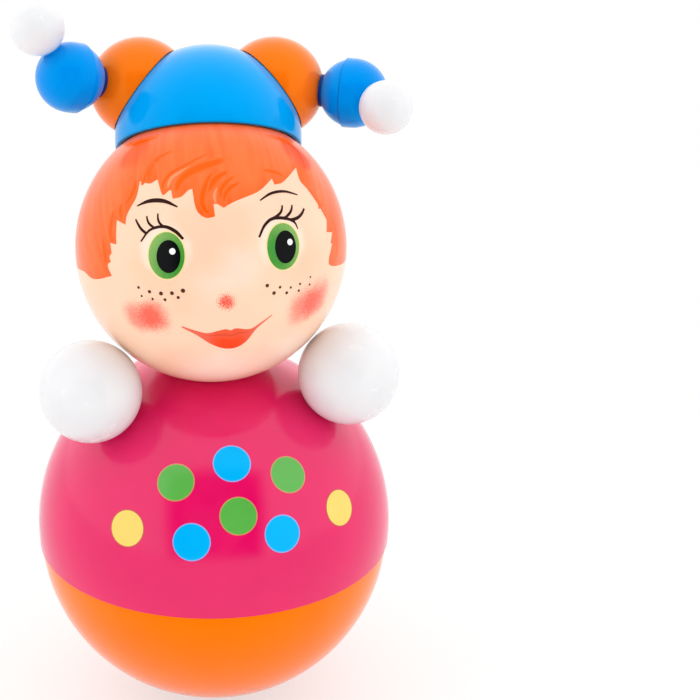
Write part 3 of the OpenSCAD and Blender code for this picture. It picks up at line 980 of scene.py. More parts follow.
# Bright red that thins out to the corners of the mouth.
LIPS = LipPaint("Red enamel, brushed", "#F25838", roughness=0.2, gloss="#FF9060")
# Small matt brown dots.
FRECKLE = Finish("Brown enamel, dabbed", "#532D1A", roughness=0.3, ior=1.25)
# Unpigmented plastic: milky and dull.
INNER = Finish("Natural polypropylene, moulded", "#E8E2D2", roughness=0.45, glow=0.05)
# Plating gives a bright grey with a slightly uneven shine.
SCREW = Finish(
    "Zinc plated steel", "#B9BBBE", roughness=0.3, drift=0.1, metallic=1.0, grain_mm=0.5, grain=0.1
)
# Drawing leaves a smooth, bright skin.
STEEL = Finish(
    "Drawn bright steel", "#C9CBCE", roughness=0.2, drift=0.08, metallic=1.0, grain_mm=0.8, grain=0.06
)
# Sand casting leaves a dark, rough and blotchy skin.
IRON = Finish(
    "Raw cast iron", "#3C3B3B", roughness=0.6, drift=0.12, mottle=0.2, mottle_mm=6, metallic=0.8,
    grain_mm=0.7, grain=0.5,
)
# Turning leaves fine marks in a warm yellow metal.
BRASS = Finish("Turned brass", "#C9A24B", roughness=0.28, drift=0.08, metallic=1.0, grain_mm=0.4, grain=0.08)


# Body


class SpotPrinter:
    """Prints spots on a ball with geometry nodes: one layer of paint on each point, square to the ball."""

    def __init__(self) -> None:
        """Builds the node tree once."""
        self.tree = bpy.data.node_groups.new("Print spots on a ball", "GeometryNodeTree")
        add, face = partial(add_node, self.tree), self.tree.interface
        inputs = {"Points": "Geometry", "Spot": "Object", "Ball centre": "Vector", "Paint": "Material"}
        for name, kind in inputs.items():
            face.new_socket(name, in_out="INPUT", socket_type=f"NodeSocket{kind}")
        face.new_socket("Prints", in_out="OUTPUT", socket_type="NodeSocketGeometry")
        start = add("NodeGroupInput").node.outputs
        spot = add("GeometryNodeObjectInfo", {"Object": start["Spot"]}, "Geometry")
        here = add("GeometryNodeInputPosition")
        out = add("ShaderNodeVectorMath", (here, start["Ball centre"]), operation="SUBTRACT")
        square = add("FunctionNodeAlignRotationToVector", {"Vector": out}, axis="Z")
        size = add("GeometryNodeInputNamedAttribute", {"Name": "size"}, data_type="FLOAT")
        where = {"Points": start["Points"], "Instance": spot, "Rotation": square, "Scale": size}
        prints = add("GeometryNodeInstanceOnPoints", where)
        solid = add("GeometryNodeRealizeInstances", {"Geometry": prints})
        painted = add("GeometryNodeSetMaterial", {"Geometry": solid, "Material": start["Paint"]})
        add("NodeGroupOutput", {0: painted})

    def stamp(
        self, name: str, finish: Finish, centre: Vector, radius: float, spots: Sequence[tuple[float, ...]],
        half_mm: float, layer: Layer,
    ) -> None:
        """Prints spots of one paint.

        Args:
            name: The piece's name.
            finish: The paint.
            centre: The ball's centre, in millimetres.
            radius: The ball's radius, in millimetres.
            spots: Azimuth, elevation and a factor on the size of each spot.
            half_mm: Radius of a spot, in millimetres.
            layer: The paint's layer.
        """
        half = math.degrees(half_mm / radius)
        form = Form()
        grid = [[spin("X", 90) @ d for d in row] for row in oval((180, 0), (half, half), steps=48)]
        form.coat(Vector((0, 0, -radius)), radius, grid, layer, True)
        pad = bpy.data.objects.new(f"{name}_stamp", form.shape(f"{name}_pad"))
        points = bpy.data.meshes.new(f"{name}_points")
        points.from_pydata([(centre + bearing(*spot[:2]) * radius) * MM for spot in spots], [], [])
        points.attributes.new("size", "FLOAT", "POINT").data.foreach_set("value", [spot[2] for spot in spots])
        holder = bpy.data.objects.new(f"{name}_holder", points)
        for helper in (pad, holder):
            bpy.context.scene.collection.objects.link(helper)
        modifier = holder.modifiers.new("Prints", "NODES")
        modifier.node_group = self.tree
        sockets = self.tree.interface.items_tree
        keys = {item.name: item.identifier for item in sockets if item.in_out == "INPUT"}
        for key, value in (("Spot", pad), ("Ball centre", centre * MM), ("Paint", finish.make())):
            modifier[keys[key]] = value
        bpy.context.view_layer.update()
        data = bpy.data.meshes.new_from_object(holder.evaluated_get(bpy.context.evaluated_depsgraph_get()))
        holder.modifiers.remove(modifier)
        for helper in (holder, pad):
            bpy.data.objects.remove(helper)
        data.name = name
        settle(bpy.data.objects.new(name, data), finish, DOLL)


@dataclass
class Body:
    """The weighted bowl, the upper shell over it and the printed dots."""

    sizes: Sizes
    printer: SpotPrinter
    bowl_wall: float = 2.2
    upper_wall: float = 2.4
    rest_edge: float = 0.8
    rest_rise: Pair = (0.03, 0.08)
    tongue_h: float = 5.0
    tongue_w: float = 1.5
    tongue_r: float = 73.0
    tongue_edge: float = 0.3
    tongue_root: float = 3.0
    tongue_clear: float = 0.5
    edge: float = 0.4
    rim_rise: float = 0.48
    rim_flare: float = 0.1
    lip_edge: float = 0.5
    lip_turn: float = 0.5
    neck_r: float = 12.06
    collar_r: float = 15.3
    boss_r: float = 18.0
    boss_h: float = 5.5
    hand_pad_r: float = 7.0
    pillar_r: float = 4.4
    pillar_h: float = 8.0
    pillar_reach: float = 14.0
    pillar_angles: tuple[float, ...] = (30.0, 150.0, 270.0)
    dot_r: float = 7.9
    rim_w: float = 0.45
    dots: dict[Ink, tuple[Angles, ...]] = field(default_factory=lambda: {
        Ink.BLUE: ((0.0, 44.0), (-15.4, 19.6), (15.2, 20.0)),
        Ink.GREEN: ((-22.9, 37.7), (22.7, 37.5), (0.6, 27.4)),
        Ink.YELLOW: ((-38.2, 21.0), (39.9, 21.8)),
    })

    def bowl(self) -> None:
        """Turns the lower bowl with its rest flat, rim, tongue and ballast pillars."""
        s, e, seam = self.sizes, self.edge, self.sizes.seam_z
        inner, rim = s.bowl_r - self.bowl_wall, math.sqrt(s.bowl_r**2 - s.seam_drop**2)
        root, top = seam - self.tongue_root, seam + self.tongue_h
        flat, foot = self.rest_rise
        out = [(0.0, 0.0), (s.rest_r / 2, 0.0), (s.rest_r - self.rest_edge, 0.0), (s.rest_r, flat)]
        ends = (latitude(height, s.bowl_r) for height in (foot - s.bowl_z, -s.seam_drop - e))
        out += arc(s.bowl_z, s.bowl_r, *ends, 64)
        out += eased((rim, seam - e), (rim, seam), (rim - e, seam))
        front, back, tip = self.tongue_r, self.tongue_r - self.tongue_w, self.tongue_edge
        out += [(front, seam), (front, top - tip), (front - tip, top), (back, top), (back, root)]
        out += arc(s.bowl_z, inner, latitude(root - s.bowl_z, inner), -90.0, 48)
        form = Form()
        form.turn(out, Matrix(), 200)
        for angle in self.pillar_angles:
            place = spin("Z", angle) @ Matrix.Translation((self.pillar_reach, 0, 0))
            form.tube(self.pillar_r, SCREW_BORE, self.bowl_wall, self.pillar_h, place)
        form.make("bowl_visual", ORANGE, slot="bowl_orange", nodes=("body_lower_shell",))

    def shell(self) -> None:
        """Turns the upper shell with its rim, socket, neck boss, head dish and hand pads."""
        s, e, seam = self.sizes, self.edge, self.sizes.seam_z
        inner, dish = s.upper_r - self.upper_wall, s.head_r + s.ball_gap
        neck, boss = s.head_z - s.upper_z, s.neck_seat - self.boss_h
        lip = (neck**2 + s.upper_r**2 - dish**2) / (2 * neck)
        lip_r, rim = (math.sqrt(s.upper_r**2 - height**2) for height in (lip, seam - s.upper_z))
        socket, roof = self.tongue_r + s.fit, seam + self.tongue_h + self.tongue_clear
        out = [(socket, seam), (rim - e, seam)]
        out += eased((rim - e, seam), (rim, seam), (rim + self.rim_flare, seam + e))
        start = latitude(seam + self.rim_rise - s.upper_z, s.upper_r)
        out += arc(s.upper_z, s.upper_r, start, latitude(lip, s.upper_r) - self.lip_turn, 96)
        start, end = (-math.degrees(math.acos(r / dish)) for r in (lip_r - self.lip_edge, self.collar_r))
        hollow = arc(s.head_z, dish, start, end, 8)
        out += eased(out[-1], (lip_r, s.upper_z + lip), hollow[0])
        out += hollow[1:]
        out += [(self.collar_r, s.neck_seat), (self.neck_r, s.neck_seat)]
        out += [(self.neck_r, boss), (self.boss_r, boss)]
        start = math.degrees(math.acos(self.boss_r / inner))
        out += arc(s.upper_z, inner, start, latitude(roof - s.upper_z, inner), 64)
        out += [(socket, roof)]
        form = Form()
        form.turn(out, Matrix(), 200)
        for side in Side:
            form.tube(self.hand_pad_r, SCREW_HOLE, inner - s.pad_root, s.upper_r + s.pad_rise, s.hand(side))
        form.make("upper_shell_visual", PINK, slot="shell_pink", nodes=("body_upper_shell",))

    def print_dots(self) -> None:
        """Prints the dots, each ink over its own thin rim."""
        centre = Vector((0, 0, self.sizes.upper_z))
        for ink, places in self.dots.items():
            word, (colour, rim, gloss) = ink.name.lower(), ink.value
            # Pad printing lays a thin, even film that shines like the plastic under it.
            under = Finish(f"{word.title()} rim ink, pad printed", rim, roughness=0.16)
            over = Finish(f"{word.title()} ink, pad printed", colour, roughness=0.15, gloss=gloss)
            spots = [(*place, 1.0) for place in places]
            for name, finish, radius, layer in (
                (f"dot_rims_{word}", under, self.dot_r, Layer.DOT_RIM),
                (f"dots_{word}", over, self.dot_r - self.rim_w, Layer.SPOT),
            ):
                self.printer.stamp(name, finish, centre, self.sizes.upper_r, spots, radius, layer)

    def build(self) -> None:
        """Builds the body."""
        self.bowl()
        self.shell()
        self.print_dots()


# Head


@dataclass
class Head:
    """The two head shells, the painted face and the painted hair.

    Places on the head are azimuths and elevations in degrees. Each lock of the hairline is drawn from the end
    of the one before it.
    """

    sizes: Sizes
    printer: SpotPrinter
    wall: float = 2.2
    lap_len: float = 3.0
    lap_w: float = 1.2
    edge: float = 0.12
    neck_bore: float = 9.0
    neck_r: float = 12.0
    neck_len: float = 12.5
    flange_r: float = 15.0
    flange_sink: float = 1.0
    crown: Angles = (180.0, 38.0)
    nape: float = -18.5
    nape_steps: int = 200
    strand_steps: int = 60
    edge_step: float = 0.8
    hair_start: Angles = (-75.0, -1.5)
    locks: tuple[tuple[Angles, ...], ...] = (
        ((-67.0, -1.8), (-61.0, 0.0), (-53.2, 3.7)),
        ((-56.0, 7.4), (-54.2, 9.5)),
        ((-55.5, 11.3), (-54.4, 13.0)),
        ((-56.4, 16.9),),
        ((-52.6, 17.2),),
        ((-56.2, 26.7),),
        ((-50.2, 26.1),),
        ((-51.1, 30.0), (-49.8, 37.3), (-50.8, 41.2), (-52.8, 44.9)),
        ((-45.5, 45.2), (-41.6, 47.8)),
        ((-35.5, 42.1), (-33.7, 41.9), (-31.4, 44.1), (-29.4, 43.1), (-28.4, 40.6)),
        ((-23.8, 41.9), (-20.5, 45.0), (-17.0, 45.8)),
        ((-16.8, 41.0), (-14.4, 36.0), (-10.2, 33.5), (-5.8, 34.0)),
        ((-7.3, 37.2), (-5.4, 39.5), (-1.2, 37.5)),
        ((4.9, 39.8), (19.5, 42.7), (31.8, 46.7)),
        ((31.3, 43.9),),
        ((38.4, 43.9), (56.1, 46.7)),
        ((52.0, 43.2), (50.9, 39.8), (54.0, 34.0), (54.0, 29.6), (52.7, 27.3)),
        ((57.3, 26.6),),
        ((56.2, 22.2), (52.6, 17.1)),
        ((58.1, 15.1),),
        ((53.8, 11.8),),
        ((57.4, 9.9),),
        ((51.0, 6.9),),
        ((50.4, 3.8), (55.0, 1.3), (64.0, -1.2), (74.0, -3.6)),
    )
    dark_strokes: tuple[Stroke, ...] = (
        Stroke(((-42.5, 63.2), (-50.2, 58.0), (-51.9, 52.8), (-50.7, 47.9), (-50.0, 43.7)),
               4.0, 0.3, 0.3, 0.45),
        Stroke(((-51.9, 54.9), (-49.4, 50.6), (-47.7, 46.0)), 3.4, 0.3, 0.3, 0.6),
        Stroke(((-56.9, 45.2), (-53.9, 41.5), (-53.5, 37.4), (-54.7, 33.1)), 3.4, 0.3, 0.2, 0.5),
        Stroke(((-57.2, 33.9), (-56.0, 30.6), (-53.3, 27.4)), 2.8, 0.3, 0.2, 0.5),
        Stroke(((-60.7, 30.3), (-59.1, 25.0), (-57.7, 20.7), (-54.4, 17.3)), 3.4, 0.3, 0.2, 0.5),
        Stroke(((-62.1, 18.2), (-59.8, 14.1), (-57.8, 10.0), (-57.0, 6.4)), 3.4, 0.2, 0.2, 0.5),
        Stroke(((-6.0, 64.1), (-17.8, 60.4), (-27.2, 56.0), (-34.4, 51.6), (-36.7, 47.2), (-35.8, 43.2)),
               2.1, 0.2, 0.5, 0.6),
        Stroke(((6.9, 60.0), (-6.4, 57.9), (-16.6, 55.3), (-23.9, 51.7), (-27.1, 47.8), (-27.0, 43.2)),
               5.5, 0.4, 0.4, 0.3),
        Stroke(((-5.3, 54.1), (-9.3, 50.3), (-11.6, 45.3), (-12.4, 40.9), (-11.0, 37.1), (-7.7, 35.1)),
               3.4, 0.2, 0.3, 0.5),
        Stroke(((5.2, 53.9), (-2.9, 51.2), (-6.9, 48.0), (-8.7, 44.4)), 4.0, 0.3, 0.2, 0.5),
        Stroke(((8.4, 51.3), (1.7, 48.4), (-1.8, 45.2), (-2.5, 41.3)), 2.8, 0.2, 0.2, 0.5),
        Stroke(((11.0, 48.0), (4.3, 46.2), (0.5, 43.3), (-1.1, 39.5)), 2.8, 0.2, 0.2, 0.5),
        Stroke(((-74.5, 66.0), (-82.9, 61.1), (-91.3, 54.4)), 3.8, 0.2, 0.4, 0.5),
        Stroke(((70.0, 62.7), (77.6, 55.4), (71.8, 49.1), (63.3, 43.1)), 4.2, 0.2, 0.2, 0.5),
        Stroke(((61.9, 22.0), (61.3, 15.9), (59.9, 9.7), (57.1, 4.1)), 3.0, 0.2, 0.2, 0.5),
        Stroke(((51.9, 39.8), (54.1, 34.3), (55.4, 28.3), (56.1, 21.3)), 2.5, 0.2, 0.2, 0.5),
        Stroke(((28.4, 51.6), (36.1, 49.2), (41.3, 46.0)), 3.0, 0.2, 0.2, 0.5),
    )
    # Pale strokes, partly pale brushwork and partly a painted highlight of the gloss.
    light_strokes: tuple[Stroke, ...] = (
        Stroke(((-33.0, 44.4), (-32.9, 49.1), (-28.0, 53.1), (-19.3, 57.2)), 2.1, 0.5, 0.2, 0.4),
        Stroke(((-5.0, 39.2), (-5.7, 42.7), (-4.0, 46.6)), 1.9, 0.3, 0.2, 0.5),
    )
    line_strokes: tuple[Stroke, ...] = (
        Stroke(((-47.2, 34.7), (-41.0, 38.0), (-33.0, 39.1), (-24.9, 37.4)), 1.8, 0.25, 0.3, 0.5),
        Stroke(((18.7, 38.8), (26.5, 40.7), (35.0, 40.0), (42.7, 36.6)), 1.2, 0.4, 0.4, 0.5),
        Stroke(((-39.9, 21.1), (-36.4, 26.5), (-30.0, 28.7), (-24.5, 27.5), (-20.2, 24.5)),
               1.4, 0.45, 0.7, 0.75),
        Stroke(((13.9, 24.0), (17.6, 28.3), (22.5, 30.4), (29.2, 29.3), (33.6, 26.8), (34.5, 23.6)),
               1.35, 0.6, 0.3, 0.5),
        Stroke(((-37.6, 24.6), (-41.0, 26.1), (-43.4, 27.8), (-45.4, 29.4)), 1.1, 1.3, 0.6, 0.1),
        Stroke(((-34.2, 27.5), (-37.1, 28.6), (-38.8, 30.0), (-39.9, 31.7)), 1.0, 1.3, 0.6, 0.1),
        Stroke(((-30.1, 28.6), (-32.4, 29.9), (-33.7, 31.6), (-34.4, 33.6)), 1.0, 1.3, 0.6, 0.1),
        Stroke(((23.4, 30.5), (26.9, 31.6), (28.9, 32.9), (30.3, 34.7)), 1.15, 1.3, 0.6, 0.1),
        Stroke(((29.3, 29.4), (32.9, 30.8), (34.8, 32.1), (36.1, 33.6)), 1.15, 1.3, 0.6, 0.1),
        Stroke(((31.9, 27.9), (36.2, 27.9), (39.7, 28.8), (42.7, 30.4)), 1.4, 1.2, 0.6, 0.1),
    )
    lip_top: tuple[Angles, ...] = (
        (-20.7, -12.9), (-13.8, -15.2), (-9.8, -16.1), (-5.0, -14.9), (-2.0, -14.3),
        (0.1, -15.0), (2.4, -14.2), (8.4, -15.2), (12.7, -12.9), (17.9, -9.7),
    )
    lip_low: tuple[Angles, ...] = (
        (-20.6, -13.6), (-14.5, -17.2), (-8.4, -22.1), (-2.8, -24.9), (2.7, -25.0),
        (7.2, -21.9), (11.5, -15.3), (18.0, -10.1),
    )
    lip_steps: tuple[int, int] = (90, 8)
    # Each iris has its middle, its tilt and the turn at which it is lightest; each pupil its middle and tilt.
    irises: tuple[tuple[Angles, float, float], ...] = (
        ((-27.2, 17.2), -5.0, 148.0), ((25.0, 18.4), 12.0, 32.0),
    )
    iris_half: Angles = (7.7, 9.5)
    rim_half: Angles = (8.3, 10.1)
    pupils: tuple[tuple[Angles, float], ...] = (((-26.2, 16.9), -4.0), ((25.9, 18.0), 12.0))
    pupil_half: Angles = (5.1, 6.7)
    glints: tuple[Angles, ...] = ((-24.6, 19.2), (28.5, 19.5))
    glint_half: Angles = (1.3, 1.3)
    freckle_r: float = 0.66
    # Azimuth, elevation and relative size of each freckle.
    freckles: tuple[tuple[float, float, float], ...] = (
        (-39.0, 2.1, 0.9), (-33.9, 1.2, 1.1), (-28.8, 1.2, 1.25), (-24.1, 1.9, 1.2), (-19.5, 3.4, 1.35),
        (-37.6, -1.4, 0.7), (-32.6, -1.8, 0.8), (-27.1, -1.3, 0.95), (-21.5, 0.3, 1.0),
        (15.4, 3.8, 1.15), (18.4, 0.0, 1.2), (21.2, 2.0, 0.9), (24.4, -1.2, 1.0), (26.4, 0.7, 0.8),
        (30.6, -1.8, 0.85), (31.3, 1.0, 0.8), (36.7, -0.8, 0.75), (37.2, 2.4, 0.7),
    )

    def shells(self) -> None:
        """Turns the front and back shells, with the lap between them and the two halves of the neck."""
        s, inner = self.sizes, self.sizes.head_r - self.wall
        lap_r, root = math.sqrt(inner**2 - self.lap_len**2) - s.fit, 2 * self.lap_len
        low, top = s.neck_seat - self.neck_len, s.head_z - inner + self.flange_sink
        neck = [(self.neck_bore, low), (self.neck_r, low), (self.neck_r, s.neck_seat)]
        neck += [(self.flange_r, s.neck_seat), (self.flange_r, top), (self.neck_bore, top)]
        for word, turn, sweep in (("front", 90.0, (180.0, 360.0)), ("back", -90.0, (0.0, 180.0))):
            out = arc(0.0, s.head_r, 90.0, latitude(self.edge, s.head_r), 64)
            out += eased((s.head_r, self.edge), (s.head_r, 0.0), (s.head_r - self.edge, 0.0), 3)
            if word == "front":
                back = lap_r - self.lap_w
                out += [(lap_r, 0.0), (lap_r, -self.lap_len), (back, -self.lap_len), (back, root)]
                out += arc(0.0, inner, latitude(root, inner), 90.0, 48)
            else:
                out += arc(0.0, inner, 0.0, 90.0, 48)
            form = Form()
            form.turn(out, Matrix.Translation(s.head_centre) @ spin("X", turn), 200)
            form.turn(neck, Matrix(), 48, sweep)
            if word == "back":
                ends = (inner - s.pad_root - s.hat_lift, s.head_r + s.pad_rise - s.hat_lift)
                form.tube(s.pad_r, SCREW_HOLE, *ends, s.hat())
            form.make(f"head_{word}_visual", FLESH, slot="head_flesh", nodes=(f"head_{word}_shell",))

    def coat(self, name: str, finish: Finish, grids: Iterable[Grid], layer: Layer, wrap: bool) -> None:
        """Paints shapes of one paint on the head as one piece.

        Args:
            name: The piece's name.
            finish: The paint.
            grids: Rows of directions for each shape.
            layer: The paint's layer.
            wrap: True if each row closes on itself.
        """
        form = Form()
        for grid in grids:
            form.coat(self.sizes.head_centre, self.sizes.head_r, grid, layer, wrap)
        form.make(name, finish)

    def hair_edge(self) -> list[Vector]:
        """Directions along the jagged hairline, lock by lock, and on round the nape.

        Returns:
            The directions, in order round the head.
        """
        edge, last = [], self.hair_start
        for lock in self.locks:
            points = (last, *lock)
            length = sum(math.degrees(bearing(*a).angle(bearing(*b))) for a, b in zip(points, lock))
            edge += smooth_path(points, max(2, round(length / self.edge_step)))[:-1]
            last = lock[-1]
        for i in range(self.nape_steps):
            t = i / self.nape_steps
            level = last[1] + (self.hair_start[1] - last[1]) * t
            turn = last[0] + (360.0 + self.hair_start[0] - last[0]) * t
            edge.append(bearing(turn, level + (self.nape - level) * math.sin(math.pi * t)))
        return edge

    def hair(self) -> None:
        """Paints the hair from the crown to the jagged hairline, and the pale and darker strokes in it; the
        pale strokes are partly a painted highlight.
        """
        crown, edge, last = bearing(*self.crown), self.hair_edge(), self.strand_steps
        strands = [[crown.slerp(d, i / last) for d in edge] for i in range(last + 1)]
        self.coat("hair_paint", HAIR, [strands], Layer.HAIR, True)
        for name, finish, strokes, layer in (
            ("light_hair_strokes", HAIR_PALE_AND_HIGHLIGHT, self.light_strokes, Layer.LIGHT_STROKE),
            ("dark_hair_strokes", HAIR_DARK, self.dark_strokes, Layer.DARK_STROKE),
        ):
            self.coat(name, finish, [stroke.rows() for stroke in strokes], layer, False)

    def eyes(self) -> None:
        """Paints the irises, pupils and glints."""
        rims = [oval(at, self.rim_half, tilt) for at, tilt, _ in self.irises]
        irises = [oval(at, self.iris_half, tilt, light) for at, tilt, light in self.irises]
        self.coat("iris_rims", IRIS_RIM, rims, Layer.IRIS_RIM, True)
        self.coat("irises", IRIS, irises, Layer.SPOT, True)
        pupils = [oval(at, self.pupil_half, tilt) for at, tilt in self.pupils]
        self.coat("pupils", PUPIL, pupils, Layer.PUPIL, True)
        self.coat("eye_glints", GLINT, [oval(at, self.glint_half) for at in self.glints], Layer.LINE, True)

    def lines(self) -> None:
        """Paints the brows, lid lines and lashes."""
        self.coat("brow_and_lash_lines", LASH, [s.rows() for s in self.line_strokes], Layer.LINE, False)

    def mouth(self) -> None:
        """Paints the lips."""
        along, down = self.lip_steps
        top, low = (smooth_path(points, along) for points in (self.lip_top, self.lip_low))
        rows = [[p.lerp(q, i / down).normalized() for p, q in zip(top, low)] for i in range(down + 1)]
        self.coat("lips", LIPS, [rows], Layer.SPOT, False)

    def dot_freckles(self) -> None:
        """Prints the freckles under the eyes."""
        s = self.sizes
        ball = (s.head_centre, s.head_r)
        self.printer.stamp("freckles", FRECKLE, *ball, self.freckles, self.freckle_r, Layer.SPOT)

    def build(self) -> None:
        """Builds the head."""
        self.shells()
        self.hair()
        self.eyes()
        self.lines()
        self.mouth()
        self.dot_freckles()


# Hat, tips and hands


@dataclass
class Hat:
    """The hat dome and its two horns."""

    sizes: Sizes
    wall: float = 2.2
    horn_wall: float = 1.8
    edge: float = 0.5
    foot_edge: float = 0.25
    foot_rise: float = 0.14
    post_root: float = 1.0
    horn_post_root: float = 0.9

    def dome(self) -> None:
        """Turns the dome with its flat brim, centre post and horn pads."""
        s, e = self.sizes, self.edge
        inner, clear = s.hat_r - self.wall, s.head_r + s.hat_gap
        brim = math.sqrt(s.hat_r**2 - s.brim_drop**2)
        meet = (clear**2 - s.hat_lift**2 - inner**2) / (2 * s.hat_lift)
        out = arc(0.0, s.hat_r, 90.0, latitude(-s.brim_drop + e, s.hat_r), 72)
        out += eased(out[-1], (brim, -s.brim_drop), (brim - e, -s.brim_drop))
        out += [(brim - s.brim_w, -s.brim_drop)]
        out += arc(0.0, inner, latitude(meet, inner), 90.0, 48)
        form = Form()
        form.turn(out, s.hat(), 180)
        form.tube(s.post_r, SCREW_BORE, s.head_r + s.pad_rise - s.hat_lift, inner + self.post_root, s.hat())
        for side in Side:
            ends = (inner - s.pad_root - s.horn_reach, s.hat_r + s.pad_rise - s.horn_reach)
            form.tube(s.pad_r, SCREW_HOLE, *ends, s.horn(side))
        form.make("hat_dome_visual", HAT_BLUE, slot="hat_blue", nodes=("hat_dome",))

    def horn(self, side: Side) -> None:
        """Turns one horn, whose foot follows the dome.

        Args:
            side: The horn's side.
        """
        s = self.sizes
        inner, cut = s.horn_r - self.horn_wall, s.hat_r + s.ball_gap
        outer_z, inner_z = ((cut**2 - s.horn_reach**2 - r**2) / (2 * s.horn_reach) for r in (s.horn_r, inner))
        out = arc(0.0, s.horn_r, 90.0, latitude(outer_z, s.horn_r), 56)
        foot_r, foot_z = out[-1]
        out[-1] = (foot_r, foot_z + self.foot_edge)
        out += eased(out[-1], (foot_r, foot_z), (foot_r - self.foot_edge, foot_z + self.foot_rise), 3)
        out += arc(0.0, inner, latitude(inner_z, inner), 90.0, 40)
        form = Form()
        form.turn(out, s.horn(side), 144)
        ends = (s.hat_r + s.pad_rise - s.horn_reach, inner + self.horn_post_root)
        form.tube(s.post_r, SCREW_BORE, *ends, s.horn(side))
        ends = (inner - s.pad_root - s.tip_reach, s.horn_r + s.pad_rise - s.tip_reach)
        form.tube(s.pad_r, SCREW_HOLE, *ends, s.tip(side))
        form.make(f"horn_{side.word}_visual", HORN_ORANGE, slot="horn_orange", nodes=(f"horn_{side.word}",))

    def build(self) -> None:
        """Builds the hat."""
        self.dome()
        for side in Side:
            self.horn(side)


@dataclass
class Tip:
    """One turning tip: its fixed cup, its cap and the bobble pressed into the cap."""

    sizes: Sizes
    side: Side
    wall: float = 1.8
    edge: float = 0.25
    cup_edge: float = 0.15
    foot_edge: float = 0.1
    tongue_w: float = 1.4
    bead: float = 0.3
    bead_w: float = 0.8
    bead_slope: float = 0.2
    bead_gap: float = 0.1
    bead_at: float = 0.4
    post_end: float = -3.3
    stem_r: float = 2.4
    stem_wall: float = 1.2
    stem_gap: float = 0.02
    stem_end: float = 3.5
    socket_end: float = 2.5
    lip_w: float = 0.08
    ring_lift: float = 0.05
    ring_root: float = 0.4
    ring_w: float = 0.26
    ring_gap: float = 0.02
    ring_top: float = 0.1

    @property
    def bead_z(self) -> float:
        """Height of the snap bead's lower end."""
        return -self.bead_at * self.sizes.tip_seam - self.bead_w

    def cup(self) -> None:
        """Turns the fixed half with foot, post, tongue and snap bead, and the dark rings of painted shade in
        its joints.
        """
        s, groove, word = self.sizes, self.bead_z, self.side.word
        radius, seam, foot = s.tip_r - s.tip_step, -s.tip_seam, -s.tip_foot
        inner, tongue = radius - self.wall, s.tip_r - self.wall - s.fit
        recess, over = s.pad_r + s.ball_gap, s.horn_r + s.ball_gap
        steps = (recess, (recess + s.tip_foot_r) / 2, s.tip_foot_r - self.foot_edge)
        dish = [(r, math.sqrt(over**2 - r**2) - s.tip_reach) for r in steps]
        collar, shoulder = dish[-1][1] + self.foot_edge, math.sqrt(radius**2 - seam**2)
        out = [(SCREW_BORE, foot), (recess, foot), *dish, (s.tip_foot_r, collar)]
        out += arc(0.0, radius, latitude(foot, radius), latitude(seam - self.cup_edge, radius), 40)
        out += [(shoulder - self.cup_edge, seam), (tongue, seam), (tongue, groove)]
        crest, slope = tongue + self.bead, self.bead_slope
        out += [(crest, groove + slope), (crest, groove + self.bead_w - slope)]
        out += [(tongue, groove + self.bead_w), (tongue, -s.ball_gap), (tongue - self.tongue_w, -s.ball_gap)]
        low, floor = -math.sqrt(inner**2 - (tongue - self.tongue_w) ** 2), foot + self.wall
        out += arc(0.0, inner, latitude(low, inner), latitude(floor, inner), 24)
        out += [(s.post_r, floor), (s.post_r, self.post_end), (SCREW_BORE, self.post_end)]
        # Thin dark rings at the foot and at the seam: painted shade in the joints.
        foot_ring = (s.tip_foot_r, collar + self.ring_gap, foot + self.ring_top)
        seam_ring = (shoulder - self.ring_gap, seam - self.ring_w, seam)
        rings = Form()
        for ring_r, low, high in (foot_ring, seam_ring):
            rings.tube(ring_r + self.ring_lift, ring_r - self.ring_root, low, high, s.tip(self.side))
        rings.make(f"tip_shadow_rings_{word}", TIP_SHADE)
        form = Form()
        form.turn(out, s.tip(self.side), 128)
        form.make(f"tip_cup_{word}_visual", TIP_BLUE, slot="tip_blue", nodes=(f"tip_cup_{word}",))

    def cap(self) -> None:
        """Turns the turning half with its skirt, snap groove and bobble socket."""
        s, e, gap, side = self.sizes, self.edge, self.bead_gap, self.side
        inner, skirt = s.tip_r - self.wall, s.fit - s.tip_seam
        low, high, deep = self.bead_z - gap, self.bead_z + self.bead_w + gap, inner + self.bead
        out = arc(0.0, s.tip_r, 90.0, 0.0, 48)
        out += [(s.tip_r, skirt / 2), (s.tip_r, skirt + e)]
        out += eased((s.tip_r, skirt + e), (s.tip_r, skirt), (s.tip_r - e, skirt))
        out += [(inner, skirt), (inner, low), (deep, low), (deep, high), (inner, high)]
        out += arc(0.0, inner, 0.0, 90.0, 36)
        form = Form()
        form.turn(out, s.tip(side), 144)
        ends = (inner - self.socket_end, s.tip_r + s.pad_rise)
        form.tube(self.stem_r + self.wall, self.stem_r + self.stem_gap, *ends, s.bobble(side))
        word = side.word
        form.make(f"tip_cap_{word}_visual", TIP_BLUE, f"tip_{word}", "tip_blue", (f"tip_cap_{word}",))

    def bobble(self) -> None:
        """Turns the bobble with its lip and hollow stem."""
        s, side, stem = self.sizes, self.side, self.stem_r
        foot, centre, inner = s.tip_r + s.pad_rise, s.bobble_reach, s.bobble_r - self.wall
        end, bore, floor = s.tip_r - self.wall - self.stem_end, stem - self.stem_wall, foot + self.wall
        lip = stem + self.wall + self.lip_w
        out = arc(centre, s.bobble_r, 90.0, -math.degrees(math.acos(lip / s.bobble_r)), 60)
        out += [(lip, foot), (stem, foot), (stem, end), (bore, end), (bore, floor)]
        out += arc(centre, inner, latitude(floor - centre, inner), 90.0, 40)
        form = Form()
        form.turn(out, s.bobble(side), 144)
        word = side.word
        form.make(f"bobble_{word}_visual", WHITE, f"tip_{word}", "ball_white", (f"bobble_{word}",))

    def build(self) -> None:
        """Builds the tip."""
        self.cup()
        self.cap()
        self.bobble()


